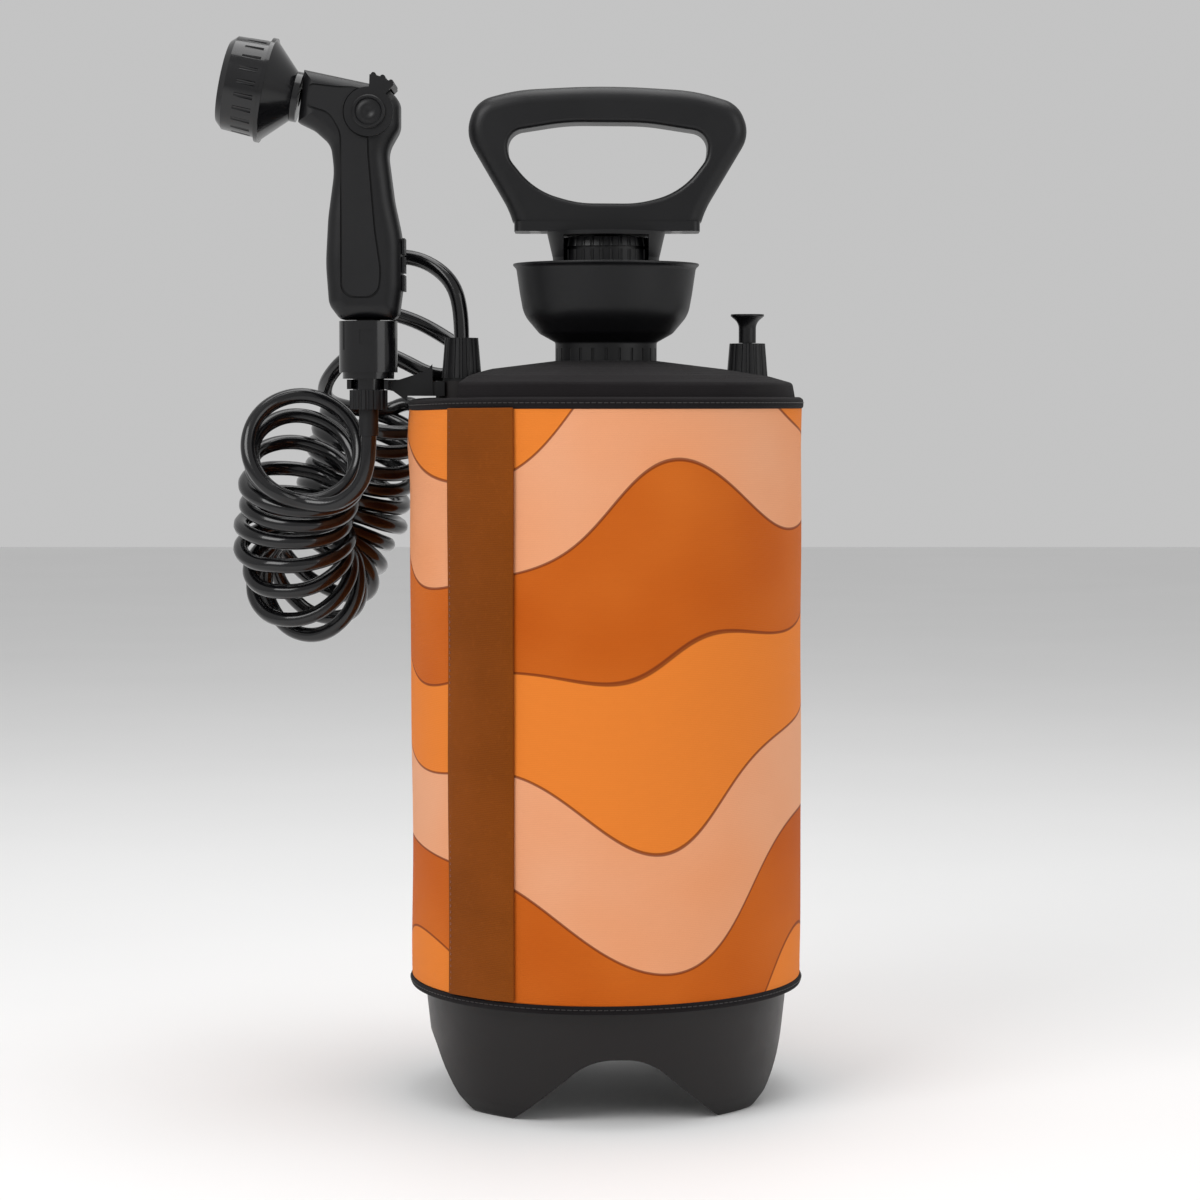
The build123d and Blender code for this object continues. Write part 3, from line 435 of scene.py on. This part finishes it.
def cylinder_group():
    """Distance round the tank and height, in metres, from object coordinates."""
    tree, inside, out = new_group(
        "Round the tank",
        [("Vector", "NodeSocketVector", None)],
        [("Around", "NodeSocketFloat"), ("Up", "NodeSocketFloat"), ("Flat", "NodeSocketVector")],
    )
    split = tree.nodes.new("ShaderNodeSeparateXYZ")
    tree.links.new(inside.outputs["Vector"], split.inputs[0])
    forwards = math_node(tree, "MULTIPLY", split.outputs["Y"], -1.0)
    angle = math_node(tree, "ARCTAN2", split.outputs["X"], forwards)
    around = math_node(tree, "MULTIPLY", angle, sleeve_radius * mm)
    join = tree.nodes.new("ShaderNodeCombineXYZ")
    tree.links.new(around, join.inputs["X"])
    tree.links.new(split.outputs["Z"], join.inputs["Y"])
    tree.links.new(around, out.inputs["Around"])
    tree.links.new(split.outputs["Z"], out.inputs["Up"])
    tree.links.new(join.outputs[0], out.inputs["Flat"])
    return tree


def use_group(tree, name, make):
    """Place a shared node group, building it the first time."""
    node = tree.nodes.new("ShaderNodeGroup")
    node.node_tree = bpy.data.node_groups.get(name) or make()
    return node


# Materials

def blank_material(name):
    material = bpy.data.materials.new(name)
    material.use_nodes = True
    tree = material.node_tree
    shader = tree.nodes["Principled BSDF"]
    place = tree.nodes.new("ShaderNodeTexCoord").outputs["Object"]
    return material, tree, shader, place


def bump(tree, shader, height, distance, strength=1.0):
    node = tree.nodes.new("ShaderNodeBump")
    node.inputs["Strength"].default_value = strength
    node.inputs["Distance"].default_value = distance
    tree.links.new(height, node.inputs["Height"])
    tree.links.new(node.outputs["Normal"], shader.inputs["Normal"])


def moulded(name, colour, roughness, grain_depth, dust=0.02, coat=0.0, coat_roughness=0.1):
    """Moulded plastic with grain, gloss changes and dust."""
    found = bpy.data.materials.get(name)
    if found is not None:
        return found
    material, tree, shader, place = blank_material(name)
    group = use_group(tree, "Moulded grain", grain_group)
    tree.links.new(place, group.inputs["Vector"])
    group.inputs["Colour"].default_value = (*colour, 1.0)
    group.inputs["Roughness"].default_value = roughness
    group.inputs["Dust"].default_value = dust
    tree.links.new(group.outputs["Colour"], shader.inputs["Base Color"])
    tree.links.new(group.outputs["Roughness"], shader.inputs["Roughness"])
    bump(tree, shader, group.outputs["Height"], grain_depth)
    shader.inputs["Specular IOR Level"].default_value = 0.33
    shader.inputs["Coat Weight"].default_value = coat
    shader.inputs["Coat Roughness"].default_value = coat_roughness
    return material


def fabric_sheen(shader, weight, roughness):
    shader.inputs["Sheen Weight"].default_value = weight
    shader.inputs["Sheen Roughness"].default_value = roughness
    shader.inputs["Specular IOR Level"].default_value = 0.12


def printed_neoprene(colours):
    """Generic wavy bands of orange, peach and deep orange with thin brown outlines, and painted shade
    darkening the knit's low places.
    """
    name = "Printed neoprene"
    found = bpy.data.materials.get(name)
    if found is not None:
        return found
    material, tree, shader, place = blank_material(name)
    flat = use_group(tree, "Round the tank", cylinder_group)
    tree.links.new(place, flat.inputs["Vector"])
    angle = math_node(tree, "DIVIDE", flat.outputs["Around"], sleeve_radius * mm)
    level = math_node(tree, "DIVIDE", flat.outputs["Up"], band_height * mm)
    for waves, height, start, lean in band_waves:
        phase = math_node(tree, "MULTIPLY_ADD", angle, waves, start)
        phase = math_node(tree, "MULTIPLY_ADD", flat.outputs["Up"], lean * lean_scale, phase)
        wave = math_node(tree, "MULTIPLY", math_node(tree, "SINE", phase), height)
        level = math_node(tree, "ADD", level, wave)
    step = math_node(tree, "FLOOR", level)
    within = math_node(tree, "SUBTRACT", level, step)
    band = math_node(tree, "MODULO", step, band_count)
    is_deep = math_node(tree, "COMPARE", band, 1.0, 0.25)
    is_peach = math_node(tree, "COMPARE", band, 2.0, 0.25)
    colour = mix_colour(tree, is_deep, tuple(colours.orange), tuple(colours.deep_orange))
    colour = mix_colour(tree, is_peach, colour, tuple(colours.peach))
    slow = noise(tree, flat.outputs["Flat"], 9.0, 2.0)
    warm = math_node(tree, "MULTIPLY", ramp(tree, slow, 0.35, 0.65), 0.35)
    colour = mix_colour(tree, warm, colour, tuple(colours.orange))
    off_middle = math_node(tree, "ABSOLUTE", math_node(tree, "SUBTRACT", within, 0.5))
    edge = math_node(tree, "SUBTRACT", 0.5, off_middle)
    line = math_node(tree, "SUBTRACT", 1.0, ramp(tree, edge, 0.010, 0.016))
    colour = mix_colour(tree, math_node(tree, "MULTIPLY", line, 0.8), colour, tuple(colours.outline))
    knit = use_group(tree, "Knit face", knit_group)
    tree.links.new(flat.outputs["Around"], knit.inputs["Around"])
    tree.links.new(flat.outputs["Up"], knit.inputs["Up"])
    knit.inputs["Pitch"].default_value = knit_pitch * mm
    # Painted shade: the knit's low places are mixed a little towards the outline colour
    painted_valley_shade = math_node(tree, "MULTIPLY", math_node(tree, "SUBTRACT", 1.0, knit.outputs["Painted shade"]), 0.16)
    colour = mix_colour(tree, painted_valley_shade, colour, tuple(colours.outline))
    tree.links.new(colour, shader.inputs["Base Color"])
    shader.inputs["Roughness"].default_value = 0.78
    fabric_sheen(shader, 0.04, 0.4)
    bump(tree, shader, knit.outputs["Height"], knit_depth * mm)
    return material


def plain_fabric(name, colour, pitch, depth, sheen):
    """Plain knitted or woven cloth round the tank, with painted shade in the knit's low places, slow changes
    of tone and lint.
    """
    found = bpy.data.materials.get(name)
    if found is not None:
        return found
    material, tree, shader, place = blank_material(name)
    flat = use_group(tree, "Round the tank", cylinder_group)
    tree.links.new(place, flat.inputs["Vector"])
    knit = use_group(tree, "Knit face", knit_group)
    tree.links.new(flat.outputs["Around"], knit.inputs["Around"])
    tree.links.new(flat.outputs["Up"], knit.inputs["Up"])
    knit.inputs["Pitch"].default_value = pitch
    lint = ramp(tree, noise(tree, place, 300.0, 4.0, 0.7), 0.55, 0.8)
    pale = tuple(min(1.0, 1.5 * c + 0.006) for c in colour)
    # Painted shade: a darker copy of the cloth's colour goes in the knit's low places, then slow tone changes
    # and lint lighten it
    painted_valley_shade = tuple(0.6 * c for c in colour)
    cloth_tone_and_painted_shade = mix_colour(tree, knit.outputs["Painted shade"], painted_valley_shade, colour)
    slow = noise(tree, place, 18.0, 3.0)
    cloth_tone_and_painted_shade = mix_colour(tree, math_node(tree, "MULTIPLY", ramp(tree, slow, 0.35, 0.7), 0.3), cloth_tone_and_painted_shade, pale)
    cloth_tone_and_painted_shade = mix_colour(tree, math_node(tree, "MULTIPLY", lint, 0.25), cloth_tone_and_painted_shade, pale)
    tree.links.new(cloth_tone_and_painted_shade, shader.inputs["Base Color"])
    shader.inputs["Roughness"].default_value = 0.82
    fabric_sheen(shader, sheen, 0.5)
    bump(tree, shader, knit.outputs["Height"], depth)
    return material


def thread_material(name, colour):
    found = bpy.data.materials.get(name)
    if found is not None:
        return found
    material, tree, shader, place = blank_material(name)
    twist = noise(tree, place, 3000.0, 2.0)
    pale = tuple(min(1.0, 1.5 * c + 0.01) for c in colour)
    plies = ramp(tree, twist, 0.3, 0.7)
    tree.links.new(mix_colour(tree, plies, colour, pale), shader.inputs["Base Color"])
    shader.inputs["Roughness"].default_value = 0.6
    fabric_sheen(shader, 0.2, 0.5)
    bump(tree, shader, twist, 0.04 * mm)
    return material


def metal(name, colour):
    found = bpy.data.materials.get(name)
    if found is not None:
        return found
    material, tree, shader, place = blank_material(name)
    group = use_group(tree, "Moulded grain", grain_group)
    tree.links.new(place, group.inputs["Vector"])
    group.inputs["Colour"].default_value = (*colour, 1.0)
    group.inputs["Roughness"].default_value = 0.32
    tree.links.new(group.outputs["Colour"], shader.inputs["Base Color"])
    tree.links.new(group.outputs["Roughness"], shader.inputs["Roughness"])
    bump(tree, shader, group.outputs["Height"], 0.01 * mm)
    shader.inputs["Metallic"].default_value = 1.0
    return material


def finish_for(slot, colours):
    """The material of a record slot."""
    plastic = tuple(colours.moulding)
    makers = {
        "base": lambda: moulded("Base moulding", tuple(colours.base), 0.40, 0.03 * mm, 0.05),
        "tank": lambda: moulded("Tank moulding", tuple(colours.base), 0.45, 0.02 * mm, 0.04),
        "matte_black": lambda: moulded("Satin moulding", plastic, 0.40, 0.018 * mm, 0.02),
        "grip_black": lambda: moulded("Soft grip", plastic, 0.50, 0.03 * mm, 0.03),
        "gloss_black": lambda: moulded("Gloss moulding", plastic, 0.20, 0.003 * mm, 0.01, 0.3, 0.06),
        "hose": lambda: moulded("Hose plastic", plastic, 0.20, 0.003 * mm, 0.01, 0.3, 0.05),
        "rubber": lambda: moulded("Seal rubber", plastic, 0.62, 0.03 * mm, 0.04),
        "steel": lambda: metal("Plated steel", (0.55, 0.54, 0.52)),
        "print_fabric": lambda: printed_neoprene(colours),
        "black_fabric": lambda: plain_fabric(
            "Black knit", tuple(colours.black_fabric), knit_pitch * mm, 0.06 * mm, 0.03),
        "brown_fabric": lambda: plain_fabric(
            "Flap neoprene", tuple(colours.strip), knit_pitch * mm, knit_depth * mm, 0.02),
    }
    return makers[slot]()


# Operators

class SHOWER_OT_stage(bpy.types.Operator):
    """Set the camera, the soft lights and the pale floor"""

    bl_idname = "shower.stage"
    bl_label = "Studio"

    def execute(self, context):
        studio = context.scene.shower_studio
        camera = bpy.data.cameras.new("Camera")
        camera.lens = studio.lens
        camera.sensor_width = sensor_width
        eye = link(bpy.data.objects.new("Camera", camera))
        eye.location = (camera_side, -studio.camera_distance, studio.camera_height)
        eye.rotation_euler = (math.radians(90) - studio.camera_tilt, 0.0, 0.0)
        context.scene.camera = eye
        context.scene.view_settings.view_transform = "Standard"
        self.lights(studio)
        self.floor()
        return {"FINISHED"}

    def lights(self, studio):
        powers = {"Key": studio.key_power, "Fill": studio.fill_power, "Top": studio.key_power * top_share}
        for name, place, size in light_rows:
            light = bpy.data.lights.new(name, "AREA")
            light.shape = "SQUARE"
            light.size = size
            light.energy = powers[name]
            lamp = link(bpy.data.objects.new(name, light))
            lamp.location = place
            aim = Vector(light_aim) - Vector(place)
            lamp.rotation_euler = aim.to_track_quat("-Z", "Y").to_euler()
        world = bpy.data.worlds.new("Studio air")
        world.use_nodes = True
        air = world.node_tree.nodes["Background"]
        air.inputs["Color"].default_value = (1.0, 1.0, 1.0, 1.0)
        air.inputs["Strength"].default_value = air_strength
        bpy.context.scene.world = world

    def floor(self):
        bm = bmesh.new()
        bmesh.ops.create_grid(bm, x_segments=1, y_segments=1, size=floor_half)
        material, tree, shader, place = blank_material("Floor")
        cloud = noise(tree, place, 3.0, 2.0)
        pale = mix_colour(tree, cloud, (0.80, 0.80, 0.80), (0.84, 0.84, 0.84))
        tree.links.new(pale, shader.inputs["Base Color"])
        shader.inputs["Roughness"].default_value = 0.6
        object_from(bm, "floor", material)


class SHOWER_OT_hose(bpy.types.Operator):
    """Lay the hose from the outlet through its coil to the connector"""

    bl_idname = "shower.hose"
    bl_label = "Curly hose"

    points_per_turn = 16
    drift_turn = 6.28
    slow_drift = 2.3
    fast_drift = 5.1

    def execute(self, context):
        sizes = context.scene.shower_sizes
        lead = metres(lead_points)
        tail = metres(tail_points)
        route = lead + list(reversed(self.turns(sizes, tail[-1], lead[-1]))) + list(reversed(tail))
        curve = bpy.data.curves.new("hose", "CURVE")
        curve.dimensions = "3D"
        curve.bevel_depth = hose_radius * mm
        curve.bevel_resolution = 4
        curve.resolution_u = 6
        curve.use_fill_caps = True
        nurbs(curve, route)
        hose = link(bpy.data.objects.new("hose", curve))
        curve.materials.append(finish_for("hose", context.scene.shower_colours))
        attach(hose, "tank")
        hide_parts("hose_lead", "hose_coil", "hose_tail")
        return {"FINISHED"}

    def turns(self, sizes, near, far):
        """Helix points along the coil's line, from the tail's end to the lead's end."""
        line = evenly(read_route(metres(coil_points)), route_samples)
        tangents = [(b - a).normalized() for a, b in zip(line, line[1:])]
        tangents.append(tangents[-1])
        side = near - line[0]
        side = (side - tangents[0] * side.dot(tangents[0])).normalized()
        sides = [side]
        for before, after in zip(tangents, tangents[1:]):
            side = before.rotation_difference(after) @ side
            sides.append(side.normalized())
        end = far - line[-1]
        cross = tangents[-1].cross(sides[-1])
        rest = math.atan2(end.dot(cross), end.dot(sides[-1])) % (2 * math.pi)
        whole = 2 * math.pi * sizes.coil_turns + rest
        count = int(self.points_per_turn * whole / (2 * math.pi))
        out = []
        for i in range(1, count):
            part = i / count
            k = min(int(part * (len(line) - 1) + 0.5), len(line) - 1)
            angle = whole * part
            turned = angle / self.drift_turn
            loose = math.sin(self.slow_drift * turned + 0.7) + 0.7 * math.sin(self.fast_drift * turned)
            radius = sizes.coil_radius + sizes.coil_looseness * loose
            across = tangents[k].cross(sides[k])
            out.append(line[k] + radius * (math.cos(angle) * sides[k] + math.sin(angle) * across))
        return out


class SHOWER_OT_sleeve(bpy.types.Operator):
    """Sew the printed sleeve and its two bindings"""

    bl_idname = "shower.sleeve"
    bl_label = "Sleeve"

    rows = 60
    edge_round = 0.9
    binding_round = 0.6
    stitch_span = (0.12, 0.82)
    # Fuller place near the upper left edge: radians round the tank and its spread, then millimetres up,
    # its spread and how far it stands out
    swell_angle = -1.55
    swell_width = 0.4
    swell_height = 335
    swell_rise = 16
    swell_depth = 1.6
    # Dip of the upper edge beside the outlet, the same way
    dip_angle = -1.35
    dip_width = 0.45
    dip_depth = 1.3
    lower_wander = 0.4
    edge_fade = 20
    mid_height = 200

    def execute(self, context):
        sizes = context.scene.shower_sizes
        colours = context.scene.shower_colours
        inner = sleeve_radius - sizes.sleeve_thickness / mm
        heights = [
            sleeve_low + (sleeve_high - sleeve_low) * i / self.rows for i in range(self.rows + 1)
        ]
        outline = [(sleeve_radius, z) for z in heights] + [(inner, sleeve_high), (inner, sleeve_low)]
        bm = spun(outline, sleeve_steps)
        self.settle(bm, sizes)
        round_edges(bm, self.edge_round * mm)
        sleeve = object_from(bm, "sleeve", finish_for("print_fabric", colours))
        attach(sleeve, "tank")
        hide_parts("sleeve_body")
        self.binding(
            "bottom_binding", "sleeve_bottom_binding", colours,
            [(inner + 0.4, binding_low), (sleeve_radius + 0.2, binding_low), (sleeve_radius + 0.8, 58.6),
             (sleeve_radius + 0.5, 61.4), (inner + 0.4, 61.2)],
        )
        self.binding(
            "top_binding", "sleeve_top_binding", colours,
            [(inner + 0.2, 351.4), (sleeve_radius + 0.2, 351.4), (sleeve_radius + 0.9, 352.6),
             (sleeve_radius + 0.7, 356.0), (sleeve_radius - 1.0, binding_high), (inner + 0.2, binding_high)],
        )
        self.seam("top_seam", sleeve_radius + 0.95, 354.4, sizes)
        self.seam("bottom_seam", sleeve_radius + 0.85, 59.6, sizes)
        return {"FINISHED"}

    def settle(self, bm, sizes):
        """Let the cloth wander a little, fuller near its upper left edge."""
        for v in bm.verts:
            angle = math.atan2(v.co.x, -v.co.y)
            height = v.co.z / mm
            wander = (
                math.sin(3 * angle + 0.021 * height) + 0.6 * math.sin(7 * angle - 0.034 * height + 1.0)
                + 0.5 * math.sin(0.06 * height + 2 * angle)
            )
            fade = min(1.0, (height - sleeve_low) / self.edge_fade, (sleeve_high - height) / self.edge_fade)
            round_off = ((angle - self.swell_angle) / self.swell_width) ** 2
            up_off = ((height - self.swell_height) / self.swell_rise) ** 2
            swell = math.exp(-round_off - up_off)
            out = sizes.sleeve_unevenness * 0.6 * wander * max(0.0, fade) + self.swell_depth * mm * swell
            flat = Vector((v.co.x, v.co.y, 0.0)).normalized()
            v.co += flat * out

    def binding(self, name, node, colours, outline):
        bm = spun(outline, binding_steps)
        round_edges(bm, self.binding_round * mm)
        for v in bm.verts:
            v.co.z += self.sag(math.atan2(v.co.x, -v.co.y), v.co.z / mm)
        tape = object_from(bm, name, finish_for("black_fabric", colours))
        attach(tape, "tank")
        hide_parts(node)

    def sag(self, angle, height):
        """The upper edge dips a little beside the outlet; the lower edge wanders slightly."""
        if height > self.mid_height:
            return -self.dip_depth * mm * math.exp(-((angle - self.dip_angle) / self.dip_width) ** 2)
        return self.lower_wander * mm * math.sin(2 * angle + 0.5)

    def seam(self, name, radius, height, sizes):
        """One round of lockstitch through a binding."""
        count = int(2 * math.pi * radius * mm / sizes.stitch_length)
        runs = []
        for i in range(count):
            ends = []
            for part in self.stitch_span:
                turn = 360.0 * (i + part) / count - 180.0
                place = wall_point(turn, radius, height)
                place.z += self.sag(math.radians(turn), height)
                ends.append(place)
            runs.append(ends)
        thread = stitches(name, runs, seam_thread * mm, thread_material("Black thread", black_thread))
        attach(thread, "tank")


class SHOWER_OT_flap(bpy.types.Operator):
    """Sew the closure flap with its zig-zag seam"""

    bl_idname = "shower.flap"
    bl_label = "Closure flap"

    thickness = 1.6
    columns = 24
    rows = 72
    edge_round = 0.45
    low_inset = 0.6
    high_inset = 0.3
    # How far the sewn and the free edge are pressed down, and over what part of the width
    sewn_press = 0.55
    free_press = 0.75
    press_part = 0.05
    press_depth = 0.7
    zigzag_pitch = 1.5
    zigzag_inset = 2
    # Degrees from the flap's edge and millimetres of depth, on the flap and on the sleeve
    zigzag_on_flap = (1.35, 0.25)
    zigzag_on_sleeve = (-0.25, -0.9)

    def execute(self, context):
        sizes = context.scene.shower_sizes
        colours = context.scene.shower_colours
        low, high = sleeve_low + self.low_inset, sleeve_high - self.high_inset
        radius = sleeve_radius + tape_thickness
        bm = bmesh.new()
        verts = [
            bm.verts.new(wall_point(strip_from, radius, low + (high - low) * i / self.rows))
            for i in range(self.rows + 1)
        ]
        edges = [bm.edges.new(pair) for pair in zip(verts, verts[1:])]
        bmesh.ops.spin(
            bm, geom=verts + edges, cent=(0, 0, 0), axis=(0, 0, 1), angle=math.radians(strip_to - strip_from),
            steps=self.columns,
        )
        for v in bm.verts:
            angle = math.degrees(math.atan2(v.co.x, -v.co.y))
            part = (angle - strip_from) / (strip_to - strip_from)
            height = v.co.z / mm
            rest = 1.0 - math.exp(-((1.0 - part) / self.press_part) ** 2) * self.free_press
            press = 1.0 - math.exp(-(part / self.press_part) ** 2) * self.sewn_press
            wave = 0.22 * math.sin(height * 0.045 + 3.0 * part)
            flat = Vector((v.co.x, v.co.y, 0.0)).normalized()
            v.co += flat * ((rest * press - 1.0) * self.press_depth + wave) * mm
            v.co.z += 0.5 * mm * math.sin(height * 0.02) * part
        bmesh.ops.recalc_face_normals(bm, faces=bm.faces)
        outward = sum(math.copysign(1, f.normal.xy.dot(f.calc_center_median().xy)) for f in bm.faces)
        if outward < 0:
            bmesh.ops.reverse_faces(bm, faces=bm.faces)
        bmesh.ops.solidify(bm, geom=bm.faces[:], thickness=-self.thickness * mm)
        bmesh.ops.recalc_face_normals(bm, faces=bm.faces)
        round_edges(bm, self.edge_round * mm, sharper_than=math.radians(60))
        flap = object_from(bm, "flap", finish_for("brown_fabric", colours))
        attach(flap, "tank")
        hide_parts("closure_strip")
        self.zigzag(low, high)
        return {"FINISHED"}

    def zigzag(self, low, high):
        radius = sleeve_radius + tape_thickness + self.thickness * 0.75
        count = int((high - low - 2 * self.zigzag_inset) / self.zigzag_pitch)
        points = []
        for i in range(count):
            turn, out = (self.zigzag_on_flap, self.zigzag_on_sleeve)[i % 2]
            height = low + self.zigzag_inset + self.zigzag_pitch * i
            points.append(wall_point(strip_from + turn, radius + out, height))
        runs = list(zip(points, points[1:]))
        material = thread_material("Brown thread", brown_thread)
        thread = stitches("flap_stitching", runs, flap_thread * mm, material)
        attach(thread, "tank")


class SHOWER_OT_lever_caps(bpy.types.Operator):
    """Turn the two dished caps on the thumb lever's pivot"""

    bl_idname = "shower.lever_caps"
    bl_label = "Lever caps"

    depth = 1.4
    # Radius and height above the hub, millimetres
    outline = (
        (0.0, 0.35), (1.8, 0.35), (2.4, 0.8), (4.6, 0.95), (5.4, 0.45), (6.2, 0.45), (6.8, 1.3), (7.8, 1.35),
        (8.35, 0.9), (8.35, 0.0), (0.0, 0.0),
    )

    def execute(self, context):
        low, high = (Vector(corner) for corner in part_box("lever_caps"))
        middle = (low + high) / 2
        whole = bmesh.new()
        for side, face in ((-1, low.y), (1, high.y)):
            bm = spun(self.outline, cap_steps)
            hub = face - side * self.depth * mm
            turn = Matrix.Rotation(-side * math.radians(90), 4, "X")
            place = Matrix.Translation((middle.x, hub, middle.z)) @ turn
            bmesh.ops.transform(bm, matrix=place, verts=bm.verts)
            mesh = bpy.data.meshes.new("one_cap")
            bm.to_mesh(mesh)
            bm.free()
            whole.from_mesh(mesh)
            bpy.data.meshes.remove(mesh)
        bmesh.ops.recalc_face_normals(whole, faces=whole.faces)
        caps = object_from(whole, "pivot_caps", finish_for("matte_black", context.scene.shower_colours))
        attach(caps, "thumb_lever")
        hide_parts("lever_caps")
        return {"FINISHED"}


class SHOWER_OT_finishes(bpy.types.Operator):
    """Give every carried-over solid the finish of its slot"""

    bl_idname = "shower.finishes"
    bl_label = "Finishes"

    def execute(self, context):
        colours = context.scene.shower_colours
        slots = {row["node"]: row["material_slot"] for row in frame["record"]["subparts"]}
        for node, obj in frame["nodes"].items():
            material = finish_for(slots[node], colours)
            if node == "filler_bowl":
                material = moulded("Bowl moulding", tuple(colours.moulding), 0.42, 0.010 * mm, 0.03)
            obj.data.materials.clear()
            obj.data.materials.append(material)
        return {"FINISHED"}


class SHOWER_PT_panel(bpy.types.Panel):
    """Buttons for each group of pieces"""

    bl_idname = "SHOWER_PT_panel"
    bl_label = "Portable Shower"
    bl_space_type = "VIEW_3D"
    bl_region_type = "UI"
    bl_category = "Shower"

    def draw(self, context):
        for group in (context.scene.shower_sizes, context.scene.shower_colours, context.scene.shower_studio):
            box = self.layout.box()
            for name in group.__annotations__:
                box.prop(group, name)
        for operator in operators:
            self.layout.operator(operator.bl_idname)


groups = (
    ("shower_sizes", ShowerSizes),
    ("shower_colours", ShowerColours),
    ("shower_studio", StudioSettings),
)
operators = (
    SHOWER_OT_stage,
    SHOWER_OT_hose,
    SHOWER_OT_sleeve,
    SHOWER_OT_flap,
    SHOWER_OT_lever_caps,
    SHOWER_OT_finishes,
)


def register():
    for name, group in groups:
        bpy.utils.register_class(group)
        setattr(bpy.types.Scene, name, PointerProperty(type=group))
    for operator in operators:
        bpy.utils.register_class(operator)
    bpy.utils.register_class(SHOWER_PT_panel)


def unregister():
    bpy.utils.unregister_class(SHOWER_PT_panel)
    for operator in reversed(operators):
        bpy.utils.unregister_class(operator)
    for name, group in reversed(groups):
        delattr(bpy.types.Scene, name)
        bpy.utils.unregister_class(group)


def main():
    register()
    for operator in operators:
        area, name = operator.bl_idname.split(".")
        getattr(getattr(bpy.ops, area), name)()


if __name__ == "__main__":
    main()
